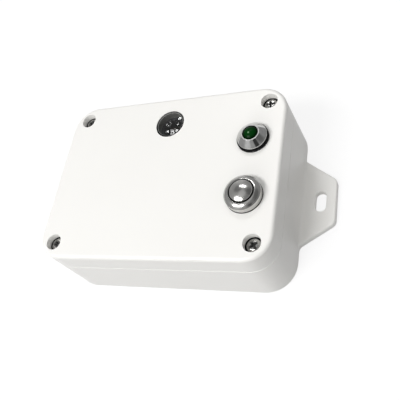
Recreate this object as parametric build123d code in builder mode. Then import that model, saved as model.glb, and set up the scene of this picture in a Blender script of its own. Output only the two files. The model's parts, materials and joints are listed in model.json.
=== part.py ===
from build123d import *
from math import atan, degrees
import os

# Wall-mount wireless light sensor, in millimetres. It lies on its back: +Z leaves the lid, +X runs along
# the box towards one mounting ear, and the origin is the centre of the back face.

# Enclosure, sized at the lid's face. Its sides stand out by FLARE at the back, from the moulding's draft.
BOX_LENGTH = 100.0
BOX_WIDTH = 73.2
BOX_HEIGHT = 32.1
CORNER_RADIUS = 10.9
FLARE = 1.3
WALL = 2.6
SEAM_HEIGHT = 22.0
LID_EDGE_RADIUS = 1.5
BACK_EDGE_RADIUS = 0.5
SEAM_CHAMFER = 0.25
TOLERANCE = 0.01

# Mounting ears, level with the back
EAR_TIP = 65.0
EAR_THICKNESS = 2.75
EAR_ROOT_WIDTH = 38.6
EAR_TIP_WIDTH = 19.0
EAR_TIP_RADIUS = 3.5
EAR_ROOT_RADIUS = 3.0
EAR_EDGE_RADIUS = 0.7
EAR_JOINT_RADIUS = 1.2
SLOT_EDGE_RADIUS = 0.3
SLOT_CENTRE = 58.8
SLOT_LENGTH = 8.9
SLOT_WIDTH = 4.4

# Lid seal: a cord in a groove of the base's rim, pressed by the lid's tongue
GROOVE_INSET = 1.0
GROOVE_WIDTH = 1.0
GROOVE_DEPTH = 1.4
TONGUE_DEPTH = 0.7
TONGUE_CLEARANCE = 0.05

# Lid screws, M3, on rubber seals in wells at the lid's corners
SCREW_SPACING = (85.4, 59.5)
WELL_RADIUS = 3.4
WELL_DEPTH = 4.6
POST_RADIUS = 4.8
SCREW_HEAD_RADIUS = 2.75
SCREW_HEAD_HEIGHT = 2.0
SCREW_HEAD_EDGE = 0.8
SCREW_RADIUS = 1.5
SCREW_LENGTH = 12.0
SCREW_SEAL = (3.35, 0.6)
SCREW_SEAL_LIP = 1.15
SCREW_SEAL_GAP = 0.05
SCREW_CLEARANCE = 0.2
SCREW_POINT = 0.4
THREAD_GAP = 0.02
CROSS_LENGTH = 3.8
CROSS_WIDTH = 1.0
CROSS_DEPTH = 1.3
CROSS_CENTRE = 0.6
CROSS_TAPER = 12.0
CROSS_TURNS = (20.0, 62.0, 38.0, 5.0)
INSERT_RADIUS = 2.3
INSERT_LENGTH = 6.0

# Places on the lid, and heights from its face
WINDOW = (0.3, 23.6)
LED = (38.2, 12.8)
BUTTON = (37.7, -11.5)
LID_INSIDE = -WALL

# Light-sensor window
WINDOW_RADIUS = 6.4
WINDOW_RING = 0.8
WINDOW_RING_EDGE = 0.3
WINDOW_FLANGE = 8.0
WINDOW_FLANGE_DEPTH = 3.4
WINDOW_RECESS = 0.1
LENS_CROWN = 0.35
LENS_CHAMFER = 0.25
CUP_MOUTH = 5.2
CUP_THROAT = 3.6
CUP_DEPTH = 7.0
SENSOR_BOARD = (26.0, 15.0, 1.0)
SENSOR_BOSS_OFFSET = 10.5
SENSOR_BOSS_RADIUS = 2.4
SENSOR_SCREW_RADIUS = 0.95
SENSOR_SCREW_REACH = 4.0
SENSOR_SCREW_HEAD = (1.9, 1.3)
SENSOR_PACKAGE = (5.0, 1.2)
SENSOR_DOME = 1.8

# LED indicator, 8 mm panel mount
LED_HEAD = 5.9
LED_WASHER_HEIGHT = 1.5
LED_WASHER_PROUD = 0.43
LED_RIM_TOP = 2.1
LED_CONE_TOP = 4.3
LED_RING = 3.56
LED_RING_EDGE = 0.15
LED_RIM_EDGE = 0.12
LED_LENS = 3.05
LED_DOME = 1.4
LED_SHOULDER_DROP = 0.33
LED_BARREL = 3.95
LED_BARREL_DEPTH = 11.0
LED_SEAT = 3.2
LED_FLANGE = (3.4, 1.0)
LED_PIN = 0.5
LED_PIN_PITCH = 2.54
LED_PIN_DEPTH = 13.1

# Push button, 12 mm panel mount
BUTTON_FLANGE = 7.05
BUTTON_SEAL_HEIGHT = 0.35
BUTTON_SEAL_PROUD = 0.1
BUTTON_FLANGE_TOP = 2.75
BUTTON_BEVEL = (0.35, 0.35)
BUTTON_SHOULDER = (0.85, 0.27)
BUTTON_CROWN = 4.0
BUTTON_LIP_WIDTH = 0.6
BUTTON_LIP_FALL = 0.15
BUTTON_BORE = 4.87
BUTTON_CAP = 4.35
BUTTON_CAP_EDGE = 4.35
BUTTON_CAP_ROUNDING = 0.2
BUTTON_CAP_TOP = 5.55
BUTTON_SKIRT = 0.6
BUTTON_TRAVEL = 1.2
BUTTON_STOP_GAP = 0.3
BUTTON_BARREL = 6.0
BUTTON_BARREL_DEPTH = 12.0
BUTTON_REAR_BORE = 4.6
WEB_TOP = -1.2
WEB_BOTTOM = -2.4
STEM_RADIUS = 1.6
STEM_CLEARANCE = 0.08
STEM_DEPTH = 3.9
DISC = (3.2, 0.8)
DISC_GAP = 0.1
SPRING_RADIUS = 2.7
SPRING_WIRE = 0.22
SPRING_TURNS = 3.5
SPRING_GAP = 0.05
CONTACT_BASE_TOP = -5.6
CONTACT_BASE_DEPTH = 13.5
TAG_OFFSET = 2.7
TAG = (2.0, 0.5)
TAG_TOP = -4.6
TAG_DEPTH = 18.5

# Nuts and washers behind the lid
HOLE_CLEARANCE = 0.05
LOCK_WASHER_HEIGHT = 0.6
LED_LOCK_WASHER = 5.8
LED_NUT = (10.5, 2.4)
BUTTON_LOCK_WASHER = 7.6
BUTTON_NUT = (14.0, 2.5)
NUT_CHAMFER = 0.3

# Main board on four posts
BOARD_CENTRE = (0.0, 17.5)
BOARD_SIZE = (74.0, 31.0, 1.6)
BOARD_BOTTOM = 7.0
BOARD_TOP = BOARD_BOTTOM + BOARD_SIZE[2]
BOARD_SCREW_SPACING = (67.0, 24.0)
BOARD_POST_RADIUS = 3.0
BOARD_SCREW_RADIUS = 1.25
BOARD_SCREW_HEAD = (2.25, 1.6)
BOARD_SCREW_LENGTH = 5.0
RADIO_CENTRE = (-28.5, 17.5)
RADIO_SIZE = (15.0, 17.0, 0.8)
SHIELD_SIZE = (12.0, 12.0, 2.4)
SHIELD_OFFSET = -1.5
SHIELD_CORNER = 0.5
SHIELD_EDGE = 0.3
ANTENNA = (-25.0, 24.0)
ANTENNA_RADIUS = 1.2
ANTENNA_PITCH = 1.5
ANTENNA_HEIGHT = 12.0
ANTENNA_WIRE = 0.3
CHIP_CENTRE = (4.0, 9.0)
CHIP_SIZE = (9.0, 9.0, 1.2)
CHIP_CORNER = 0.8
CRYSTAL_CENTRE = (-8.5, 6.0)
CRYSTAL_SIZE = (11.0, 4.6, 3.6)
CRYSTAL_EDGE = 0.5
PASSIVE_CENTRE = (8.0, 24.0)
PASSIVE_SIZE = (2.0, 1.2, 0.8)
PASSIVE_SPACING = (4.0, 3.2)
PASSIVE_COUNT = (5, 3)

# Sockets on the board and the plugs in them, each with the direction of its long side
SOCKET_SIZE = (8.0, 5.0, 5.5)
SOCKET_WALL = 0.8
SOCKET_FLOOR = 1.0
PLUG_CLEARANCE = 0.05
PLUG_PROUD = 1.0
PLUG_TOP = BOARD_TOP + SOCKET_SIZE[2] + PLUG_PROUD
LED_SOCKET = (20.5, LED[1])
BUTTON_SOCKET = (32.0, 23.0)
BATTERY_SOCKET = (26.5, 5.6)
SENSOR_SOCKET = (-17.5, 22.0)
SENSOR_SOCKET_LENGTH = 12.0
PIN_PITCH = 2.54
SENSOR_PIN_PITCH = 2.0

# Two AA cells in a tray
CELL_RADIUS = 7.1
CELL_LENGTH = 49.2
CELL_EDGE = 0.6
CELL_GAP = 0.05
NUB = (2.75, 1.2)
CELL_SPACING = 15.8
TRAY_CENTRE = (-7.5, -17.5)
TRAY_SIZE = (60.0, 33.0, 10.75)
TRAY_WALL = 1.5
CHANNEL_WIDTH = 14.8
CELL_HEIGHT = 11.15
PLATE = (11.0, 10.0, 0.4)
CELL_SPRING_RADIUS = 4.0
CELL_SPRING_WIRE = 0.35
CELL_SPRING_PITCH = 1.5

# Leads, with the radii of their bends and how far the battery leads drift along X on their way down
LEAD_RADIUS = 0.55
SENSOR_LEAD_RADIUS = 0.5
LEAD_HOLE = 0.65
RED_LEAD_TOP = 19.9
RED_LEAD_DRIFT = (1.0, 1.2)
RED_LEAD_DROP = 0.5
RED_LEAD_BENDS = [2.0, 3.0, 1.8]
BLACK_LEAD_TOP = 20.5
BLACK_LEAD_DRIFT = (2.0, 1.6)
BLACK_LEAD_DROP = 0.6
BLACK_LEAD_BENDS = [2.2, 3.5, 3.0]
LED_LEAD_TOP = 19.9
LED_LEAD_BENDS = [4.0]
BUTTON_LEAD_HEIGHTS = (17.8, 17.0, 16.0)
BUTTON_LEAD_TURNS = (6.0, -5.0)
BUTTON_LEAD_BENDS = [1.2, 8.0, 5.0]
SENSOR_LEAD_BENDS = [3.5]

DRAFT = degrees(atan(FLARE / BOX_HEIGHT))
WELL_FLOOR = BOX_HEIGHT - WELL_DEPTH
SCREW_SEAT = WELL_FLOOR + SCREW_SEAL[1]
SCREWS = [(x * SCREW_SPACING[0] / 2, y * SCREW_SPACING[1] / 2) for x in (-1, 1) for y in (-1, 1)]
TRAY_BOTTOM = EAR_THICKNESS
SENSOR_BOARD_TOP = BOX_HEIGHT - CUP_DEPTH


def outline(height, inset=0.0):
    """Length, width and corner radius of the box at a height, drawn in by inset."""
    grown = FLARE * (BOX_HEIGHT - height) / BOX_HEIGHT - inset
    return BOX_LENGTH + 2 * grown, BOX_WIDTH + 2 * grown, CORNER_RADIUS + grown


def at_height(faces, height):
    """The faces whose middle is at a height."""
    return faces.filter_by(lambda face: abs(face.center().Z - height) < TOLERANCE)


def profile_plane(centre):
    """An upright plane through a point of the lid: its x is a radius, its y a height from the lid's face."""
    return Plane(origin=(*centre, BOX_HEIGHT), x_dir=(1, 0, 0), z_dir=(0, -1, 0))


def upright_axis(centre):
    """The line through a point of the lid, square to it."""
    return Axis((*centre, 0), (0, 0, 1))


def collar(centre, bottom, top, outer, inner):
    """A plain ring about a point of the lid, between two heights from the lid's face."""
    with BuildPart() as piece:
        with BuildSketch(Plane.XY.offset(BOX_HEIGHT + bottom)):
            with Locations(centre):
                Circle(outer)
                Circle(inner, mode=Mode.SUBTRACT)
        extrude(amount=top - bottom)
    return piece


def nut(centre, top, across_flats, height, bore):
    """A hexagon nut whose upper face is at a height from the lid's face."""
    with BuildPart() as piece:
        with BuildSketch(Plane.XY.offset(BOX_HEIGHT + top - height)):
            with Locations(centre):
                RegularPolygon(across_flats / 2, 6, major_radius=False)
                Circle(bore, mode=Mode.SUBTRACT)
        extrude(amount=height)
        chamfer(piece.faces().sort_by(Axis.Z)[0].outer_wire().edges(), NUT_CHAMFER)
    return piece


def spring(pitch, height, radius, wire, base, direction=(0, 0, 1)):
    """A coil that stands on a point."""
    with BuildPart() as piece:
        with BuildLine():
            coil = Helix(pitch, height, radius, center=base, direction=direction)
        with BuildSketch(Plane(origin=coil @ 0, z_dir=coil % 0)):
            Circle(wire)
        sweep(path=coil, is_frenet=True)
    return piece


def lead(points, radii, thickness=LEAD_RADIUS):
    """An insulated wire of straight runs joined by arcs."""
    with BuildPart() as piece:
        with BuildLine() as route:
            FilletPolyline(*points, radius=radii)
        with BuildSketch(Plane(origin=points[0], z_dir=Vector(*points[1]) - Vector(*points[0]))):
            Circle(thickness)
        sweep(path=route.wires()[0])
    return piece


# Rear half of the enclosure, with both ears
side = outline(EAR_THICKNESS)[0] / 2
slope = (EAR_ROOT_WIDTH - EAR_TIP_WIDTH) / 2 / (EAR_TIP - side)
ear_start = side - 2 * WALL
ear_start_width = EAR_ROOT_WIDTH + 2 * slope * (side - ear_start)
with BuildPart() as base_shell:
    with BuildSketch(Plane.XY):
        RectangleRounded(*outline(0))
    extrude(amount=SEAM_HEIGHT, taper=DRAFT)
    fillet(base_shell.faces().sort_by(Axis.Z)[0].edges(), BACK_EDGE_RADIUS)
    chamfer(base_shell.faces().sort_by(Axis.Z)[-1].edges(), SEAM_CHAMFER)
    with BuildSketch(Plane.XY) as ears:
        Rectangle(2 * side, EAR_ROOT_WIDTH + 4 * EAR_ROOT_RADIUS)
        for end in (-1, 1):
            with BuildLine():
                Polyline(
                    (end * ear_start, -ear_start_width / 2),
                    (end * EAR_TIP, -EAR_TIP_WIDTH / 2),
                    (end * EAR_TIP, EAR_TIP_WIDTH / 2),
                    (end * ear_start, ear_start_width / 2),
                    close=True,
                )
            make_face()
        fillet(ears.vertices().filter_by(lambda v: abs(abs(v.Y) - EAR_ROOT_WIDTH / 2) < 1), EAR_ROOT_RADIUS)
        fillet(ears.vertices().filter_by(lambda v: abs(abs(v.X) - EAR_TIP) < TOLERANCE), EAR_TIP_RADIUS)
    extrude(amount=EAR_THICKNESS)
    joints = at_height(base_shell.faces(), EAR_THICKNESS).edges().filter_by(lambda e: abs(e.center().Y) < 1)
    fillet(joints.filter_by(lambda e: abs(e.center().X) < SLOT_CENTRE), EAR_JOINT_RADIUS)
    rims = at_height(base_shell.faces(), EAR_THICKNESS).edges()
    rims = rims.filter_by(lambda e: abs(e.center().Y) > 1 or abs(e.center().X) > SLOT_CENTRE)
    fillet(rims, EAR_EDGE_RADIUS)
    with BuildSketch(Plane.XY):
        with Locations((-SLOT_CENTRE, 0), (SLOT_CENTRE, 0)):
            SlotOverall(SLOT_LENGTH, SLOT_WIDTH, rotation=90)
    extrude(amount=EAR_THICKNESS, mode=Mode.SUBTRACT)
    mouths = [face.inner_wires()[0].edges() for face in at_height(base_shell.faces(), EAR_THICKNESS)]
    fillet([edge for mouth in mouths for edge in mouth], SLOT_EDGE_RADIUS)
    with BuildSketch(Plane.XY.offset(EAR_THICKNESS)):
        RectangleRounded(*outline(EAR_THICKNESS, WALL))
    extrude(amount=SEAM_HEIGHT - EAR_THICKNESS, taper=DRAFT, mode=Mode.SUBTRACT)
    with BuildSketch(Plane.XY):
        with Locations(*SCREWS):
            Circle(POST_RADIUS)
    extrude(amount=SEAM_HEIGHT)
    with BuildSketch(Plane.XY):
        with Locations(BOARD_CENTRE):
            with GridLocations(*BOARD_SCREW_SPACING, 2, 2):
                Circle(BOARD_POST_RADIUS)
    extrude(amount=BOARD_BOTTOM)
    with BuildSketch(Plane.XY.offset(SEAM_HEIGHT)):
        RectangleRounded(*outline(SEAM_HEIGHT, GROOVE_INSET))
        RectangleRounded(*outline(SEAM_HEIGHT, GROOVE_INSET + GROOVE_WIDTH), mode=Mode.SUBTRACT)
    extrude(amount=-GROOVE_DEPTH, mode=Mode.SUBTRACT)
    with BuildSketch(Plane.XY.offset(SEAM_HEIGHT)):
        with Locations(*SCREWS):
            Circle(INSERT_RADIUS)
    extrude(amount=-INSERT_LENGTH, mode=Mode.SUBTRACT)
    with BuildSketch(Plane.XY.offset(SEAM_HEIGHT - INSERT_LENGTH)):
        with Locations(*SCREWS):
            Circle(SCREW_RADIUS + SCREW_CLEARANCE)
    extrude(amount=-INSERT_LENGTH, mode=Mode.SUBTRACT)
    with BuildSketch(Plane.XY.offset(BOARD_BOTTOM)):
        with Locations(BOARD_CENTRE):
            with GridLocations(*BOARD_SCREW_SPACING, 2, 2):
                Circle(BOARD_SCREW_RADIUS)
    extrude(amount=-BOARD_SCREW_LENGTH + BOARD_SIZE[2], mode=Mode.SUBTRACT)

# Front half of the enclosure
with BuildPart() as lid:
    with BuildSketch(Plane.XY.offset(SEAM_HEIGHT)):
        RectangleRounded(*outline(SEAM_HEIGHT))
    extrude(amount=BOX_HEIGHT - SEAM_HEIGHT, taper=DRAFT)
    fillet(lid.faces().sort_by(Axis.Z)[-1].edges(), LID_EDGE_RADIUS)
    chamfer(lid.faces().sort_by(Axis.Z)[0].edges(), SEAM_CHAMFER)
    with BuildSketch(Plane.XY.offset(SEAM_HEIGHT)):
        RectangleRounded(*outline(SEAM_HEIGHT, WALL))
    extrude(amount=BOX_HEIGHT + LID_INSIDE - SEAM_HEIGHT, taper=DRAFT, mode=Mode.SUBTRACT)
    with BuildSketch(Plane.XY.offset(SEAM_HEIGHT)):
        with Locations(*SCREWS):
            Circle(POST_RADIUS)
    extrude(amount=BOX_HEIGHT + LID_INSIDE - SEAM_HEIGHT)
    with BuildSketch(Plane.XY.offset(SEAM_HEIGHT)):
        RectangleRounded(*outline(SEAM_HEIGHT, GROOVE_INSET + TONGUE_CLEARANCE))
        inner = GROOVE_INSET + GROOVE_WIDTH - TONGUE_CLEARANCE
        RectangleRounded(*outline(SEAM_HEIGHT, inner), mode=Mode.SUBTRACT)
    extrude(amount=-TONGUE_DEPTH)
    with BuildSketch(Plane.XY.offset(SENSOR_BOARD_TOP)):
        with Locations(WINDOW):
            with GridLocations(2 * SENSOR_BOSS_OFFSET, 0, 2, 1):
                Circle(SENSOR_BOSS_RADIUS)
    extrude(amount=BOX_HEIGHT + LID_INSIDE - SENSOR_BOARD_TOP)
    with BuildSketch(Plane.XY.offset(SENSOR_BOARD_TOP)):
        with Locations(WINDOW):
            with GridLocations(2 * SENSOR_BOSS_OFFSET, 0, 2, 1):
                Circle(SENSOR_SCREW_RADIUS)
    extrude(amount=SENSOR_SCREW_REACH, mode=Mode.SUBTRACT)
    with BuildSketch(Plane.XY.offset(BOX_HEIGHT)):
        with Locations(*SCREWS):
            Circle(WELL_RADIUS)
    extrude(amount=-WELL_DEPTH, mode=Mode.SUBTRACT)
    with BuildSketch(Plane.XY.offset(WELL_FLOOR)):
        with Locations(*SCREWS):
            Circle(SCREW_RADIUS + SCREW_CLEARANCE)
    extrude(amount=SEAM_HEIGHT - WELL_FLOOR, mode=Mode.SUBTRACT)
    with BuildSketch(Plane.XY.offset(BOX_HEIGHT)):
        with Locations(WINDOW):
            Circle(WINDOW_RADIUS)
        with Locations(LED):
            Circle(LED_BARREL + HOLE_CLEARANCE)
        with Locations(BUTTON):
            Circle(BUTTON_BARREL + HOLE_CLEARANCE)
    extrude(amount=-WALL, mode=Mode.SUBTRACT)

# Seal between the two halves
with BuildPart() as lid_gasket:
    with BuildSketch(Plane.XY.offset(SEAM_HEIGHT - GROOVE_DEPTH)):
        RectangleRounded(*outline(SEAM_HEIGHT, GROOVE_INSET))
        RectangleRounded(*outline(SEAM_HEIGHT, GROOVE_INSET + GROOVE_WIDTH), mode=Mode.SUBTRACT)
    extrude(amount=GROOVE_DEPTH - TONGUE_DEPTH)

# Lid screw with a domed head and a cross recess
with BuildPart() as lid_screw:
    with BuildSketch(Plane.XY.offset(SCREW_SEAT)):
        Circle(SCREW_HEAD_RADIUS)
    extrude(amount=SCREW_HEAD_HEIGHT)
    fillet(lid_screw.edges().group_by(Axis.Z)[-1], SCREW_HEAD_EDGE)
    with BuildSketch(Plane.XY.offset(SCREW_SEAT + SCREW_HEAD_HEIGHT)):
        Rectangle(CROSS_LENGTH, CROSS_WIDTH)
        Rectangle(CROSS_WIDTH, CROSS_LENGTH)
        Circle(CROSS_CENTRE)
    extrude(amount=-CROSS_DEPTH, taper=CROSS_TAPER, mode=Mode.SUBTRACT)
    with BuildSketch(Plane.XY.offset(SCREW_SEAT)):
        Circle(SCREW_RADIUS - THREAD_GAP)
    extrude(amount=-SCREW_LENGTH)
    chamfer(lid_screw.edges().group_by(Axis.Z)[0], SCREW_POINT)

with BuildPart() as lid_screws:
    for place, turn in zip(SCREWS, CROSS_TURNS):
        with Locations(place):
            add(lid_screw.part, rotation=(0, 0, turn))

with BuildPart() as screw_seals:
    with BuildSketch(Plane.XY.offset(WELL_FLOOR)):
        with Locations(*SCREWS):
            Circle(SCREW_SEAL[0])
            Circle(SCREW_RADIUS, mode=Mode.SUBTRACT)
    extrude(amount=SCREW_SEAL[1])
    with BuildSketch(Plane.XY.offset(SCREW_SEAT)):
        with Locations(*SCREWS):
            Circle(SCREW_SEAL[0])
            Circle(SCREW_HEAD_RADIUS + SCREW_SEAL_GAP, mode=Mode.SUBTRACT)
    extrude(amount=SCREW_SEAL_LIP)

with BuildPart() as brass_inserts:
    with BuildSketch(Plane.XY.offset(SEAM_HEIGHT - INSERT_LENGTH)):
        with Locations(*SCREWS):
            Circle(INSERT_RADIUS)
            Circle(SCREW_RADIUS, mode=Mode.SUBTRACT)
    extrude(amount=INSERT_LENGTH)

# Light-sensor window, its ring and the cup behind it
lens_radius = WINDOW_RADIUS - WINDOW_RING
with BuildPart() as window_gasket:
    with BuildSketch(profile_plane(WINDOW)):
        with BuildLine():
            Polyline(
                (lens_radius, -WINDOW_RECESS),
                (WINDOW_RADIUS, -WINDOW_RECESS),
                (WINDOW_RADIUS, LID_INSIDE),
                (WINDOW_FLANGE, LID_INSIDE),
                (WINDOW_FLANGE, -WINDOW_FLANGE_DEPTH),
                (lens_radius, -WINDOW_FLANGE_DEPTH),
                close=True,
            )
        make_face()
    revolve(axis=upright_axis(WINDOW))
    circles = window_gasket.edges().filter_by(GeomType.CIRCLE)
    rims = circles.filter_by(lambda e: abs(e.radius - WINDOW_RADIUS) < TOLERANCE)
    fillet(rims.sort_by(Axis.Z)[-1], WINDOW_RING_EDGE)

lens_edge = -WINDOW_RECESS - LENS_CHAMFER
with BuildPart() as window_lens:
    with BuildSketch(profile_plane(WINDOW)):
        with BuildLine():
            Polyline(
                (0, lens_edge + LENS_CROWN),
                (0, -WINDOW_FLANGE_DEPTH),
                (lens_radius, -WINDOW_FLANGE_DEPTH),
                (lens_radius, lens_edge - LENS_CHAMFER),
                (lens_radius - LENS_CHAMFER, lens_edge),
            )
            TangentArc(
                (0, lens_edge + LENS_CROWN),
                (lens_radius - LENS_CHAMFER, lens_edge),
                tangent=(1, 0),
            )
        make_face()
    revolve(axis=upright_axis(WINDOW))

with BuildPart() as sensor_cup:
    with BuildSketch(profile_plane(WINDOW)):
        with BuildLine():
            Polyline(
                (CUP_MOUTH, -WINDOW_FLANGE_DEPTH),
                (WINDOW_FLANGE, -WINDOW_FLANGE_DEPTH),
                (WINDOW_FLANGE, -CUP_DEPTH),
                (CUP_THROAT, -CUP_DEPTH),
                close=True,
            )
        make_face()
    revolve(axis=upright_axis(WINDOW))

with BuildPart() as sensor_board:
    with BuildSketch(Plane.XY.offset(SENSOR_BOARD_TOP)):
        with Locations(WINDOW):
            Rectangle(SENSOR_BOARD[0], SENSOR_BOARD[1])
            with GridLocations(2 * SENSOR_BOSS_OFFSET, 0, 2, 1):
                Circle(SENSOR_SCREW_RADIUS + SCREW_CLEARANCE, mode=Mode.SUBTRACT)
    extrude(amount=-SENSOR_BOARD[2])

with BuildPart() as sensor_board_screws:
    with BuildSketch(Plane.XY.offset(SENSOR_BOARD_TOP - SENSOR_BOARD[2])):
        with Locations(WINDOW):
            with GridLocations(2 * SENSOR_BOSS_OFFSET, 0, 2, 1):
                Circle(SENSOR_SCREW_HEAD[0])
    extrude(amount=-SENSOR_SCREW_HEAD[1])
    with BuildSketch(Plane.XY.offset(SENSOR_BOARD_TOP - SENSOR_BOARD[2])):
        with Locations(WINDOW):
            with GridLocations(2 * SENSOR_BOSS_OFFSET, 0, 2, 1):
                Circle(SENSOR_SCREW_RADIUS)
    extrude(amount=SENSOR_BOARD[2] + SENSOR_SCREW_REACH)

with BuildPart() as light_sensor:
    with BuildSketch(Plane.XY.offset(SENSOR_BOARD_TOP)):
        with Locations(WINDOW):
            Rectangle(SENSOR_PACKAGE[0], SENSOR_PACKAGE[0])
    extrude(amount=SENSOR_PACKAGE[1])
    with BuildSketch(profile_plane(WINDOW)):
        with BuildLine():
            base = SENSOR_PACKAGE[1] - CUP_DEPTH
            Polyline((0, base + SENSOR_DOME), (0, base), (SENSOR_DOME, base))
            TangentArc((0, base + SENSOR_DOME), (SENSOR_DOME, base), tangent=(1, 0))
        make_face()
    revolve(axis=upright_axis(WINDOW))

# LED indicator
with BuildPart() as led_bezel:
    with BuildSketch(profile_plane(LED)):
        with BuildLine():
            Polyline(
                (LED_LENS + HOLE_CLEARANCE, LED_CONE_TOP),
                (LED_RING, LED_CONE_TOP),
                (LED_HEAD, LED_RIM_TOP),
                (LED_HEAD, LED_WASHER_HEIGHT),
                (LED_BARREL, LED_WASHER_HEIGHT),
                (LED_BARREL, -LED_BARREL_DEPTH),
                (LED_FLANGE[0] + HOLE_CLEARANCE, -LED_BARREL_DEPTH),
                (LED_FLANGE[0] + HOLE_CLEARANCE, -LED_SEAT),
                (LED_LENS + HOLE_CLEARANCE, -LED_SEAT),
                close=True,
            )
        make_face()
    revolve(axis=upright_axis(LED))
    fillet(led_bezel.edges().group_by(Axis.Z)[-1], LED_RING_EDGE)
    circles = led_bezel.edges().filter_by(GeomType.CIRCLE)
    fillet(circles.filter_by(lambda e: e.radius > LED_HEAD - TOLERANCE), LED_RIM_EDGE)

led_washer = collar(LED, 0, LED_WASHER_HEIGHT, LED_HEAD + LED_WASHER_PROUD, LED_BARREL)

with BuildPart() as led_lens:
    with BuildSketch(profile_plane(LED)):
        with BuildLine():
            shoulder = LED_CONE_TOP - LED_SHOULDER_DROP
            Polyline(
                (0, shoulder + LED_DOME),
                (0, -LED_SEAT - LED_FLANGE[1]),
                (LED_FLANGE[0], -LED_SEAT - LED_FLANGE[1]),
                (LED_FLANGE[0], -LED_SEAT),
                (LED_LENS, -LED_SEAT),
                (LED_LENS, shoulder),
            )
            TangentArc((0, shoulder + LED_DOME), (LED_LENS, shoulder), tangent=(1, 0))
        make_face()
    revolve(axis=upright_axis(LED))

lock_washer_bottom = LID_INSIDE - LOCK_WASHER_HEIGHT
led_lock_washer = collar(LED, lock_washer_bottom, LID_INSIDE, LED_LOCK_WASHER, LED_BARREL)
led_nut = nut(LED, lock_washer_bottom, *LED_NUT, LED_BARREL)

with BuildPart() as led_pins:
    with BuildSketch(Plane.XY.offset(BOX_HEIGHT - LED_SEAT - LED_FLANGE[1])):
        with Locations(LED):
            with GridLocations(0, LED_PIN_PITCH, 1, 2):
                Rectangle(LED_PIN, LED_PIN)
    extrude(amount=LED_SEAT + LED_FLANGE[1] - LED_PIN_DEPTH)

# Push button
bevel_end = (BUTTON_FLANGE - BUTTON_BEVEL[0], BUTTON_FLANGE_TOP + BUTTON_BEVEL[1])
lip_start = (BUTTON_BORE + BUTTON_LIP_WIDTH, BUTTON_CROWN)
with BuildPart() as button_bezel:
    with BuildSketch(profile_plane(BUTTON)):
        with BuildLine():
            Polyline(
                lip_start,
                (BUTTON_BORE, BUTTON_CROWN - BUTTON_LIP_FALL),
                (BUTTON_BORE, WEB_TOP),
                (STEM_RADIUS + STEM_CLEARANCE, WEB_TOP),
                (STEM_RADIUS + STEM_CLEARANCE, WEB_BOTTOM),
                (BUTTON_REAR_BORE, WEB_BOTTOM),
                (BUTTON_REAR_BORE, -BUTTON_BARREL_DEPTH),
                (BUTTON_BARREL, -BUTTON_BARREL_DEPTH),
                (BUTTON_BARREL, BUTTON_SEAL_HEIGHT),
                (BUTTON_FLANGE, BUTTON_SEAL_HEIGHT),
                (BUTTON_FLANGE, BUTTON_FLANGE_TOP),
                bevel_end,
            )
            shoulder = (BUTTON_FLANGE - BUTTON_SHOULDER[0], BUTTON_CROWN - BUTTON_SHOULDER[1])
            ThreePointArc(bevel_end, shoulder, lip_start)
        make_face()
    revolve(axis=upright_axis(BUTTON))

button_gasket = collar(BUTTON, 0, BUTTON_SEAL_HEIGHT, BUTTON_FLANGE + BUTTON_SEAL_PROUD, BUTTON_BARREL)

cap_inner = BUTTON_CAP - BUTTON_SKIRT
cap_bottom = WEB_TOP + BUTTON_TRAVEL + BUTTON_STOP_GAP
with BuildPart() as button_cap:
    with BuildSketch(profile_plane(BUTTON)):
        with BuildLine():
            Polyline(
                (0, BUTTON_CAP_TOP),
                (0, -STEM_DEPTH),
                (STEM_RADIUS, -STEM_DEPTH),
                (STEM_RADIUS, BUTTON_CAP_EDGE - BUTTON_SKIRT),
                (cap_inner, BUTTON_CAP_EDGE - BUTTON_SKIRT),
                (cap_inner, cap_bottom),
                (BUTTON_CAP, cap_bottom),
                (BUTTON_CAP, BUTTON_CAP_EDGE),
            )
            TangentArc((0, BUTTON_CAP_TOP), (BUTTON_CAP, BUTTON_CAP_EDGE), tangent=(1, 0))
        make_face()
    revolve(axis=upright_axis(BUTTON))
    circles = button_cap.edges().filter_by(GeomType.CIRCLE)
    rims = circles.filter_by(lambda e: abs(e.radius - BUTTON_CAP) < TOLERANCE)
    fillet(rims.sort_by(Axis.Z)[-1], BUTTON_CAP_ROUNDING)

disc_top = WEB_BOTTOM - DISC_GAP
button_contact_disc = collar(BUTTON, disc_top - DISC[1], disc_top, DISC[0], STEM_RADIUS)

spring_height = BUTTON_CAP_EDGE - BUTTON_SKIRT - WEB_TOP - 2 * SPRING_WIRE - 2 * SPRING_GAP
button_spring = spring(
    spring_height / SPRING_TURNS,
    spring_height,
    SPRING_RADIUS,
    SPRING_WIRE,
    (*BUTTON, BOX_HEIGHT + WEB_TOP + SPRING_WIRE + SPRING_GAP),
)

with BuildPart() as button_contact_base:
    with BuildSketch(Plane.XY.offset(BOX_HEIGHT + CONTACT_BASE_TOP)):
        with Locations(BUTTON):
            Circle(BUTTON_REAR_BORE)
            with GridLocations(2 * TAG_OFFSET, 0, 2, 1):
                Rectangle(*TAG, mode=Mode.SUBTRACT)
    extrude(amount=-CONTACT_BASE_DEPTH - CONTACT_BASE_TOP)

with BuildPart() as button_terminals:
    with BuildSketch(Plane.XY.offset(BOX_HEIGHT + TAG_TOP)):
        with Locations(BUTTON):
            with GridLocations(2 * TAG_OFFSET, 0, 2, 1):
                Rectangle(*TAG)
    extrude(amount=-TAG_DEPTH - TAG_TOP)

button_lock_washer = collar(BUTTON, lock_washer_bottom, LID_INSIDE, BUTTON_LOCK_WASHER, BUTTON_BARREL)
button_nut = nut(BUTTON, lock_washer_bottom, *BUTTON_NUT, BUTTON_BARREL)

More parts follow.
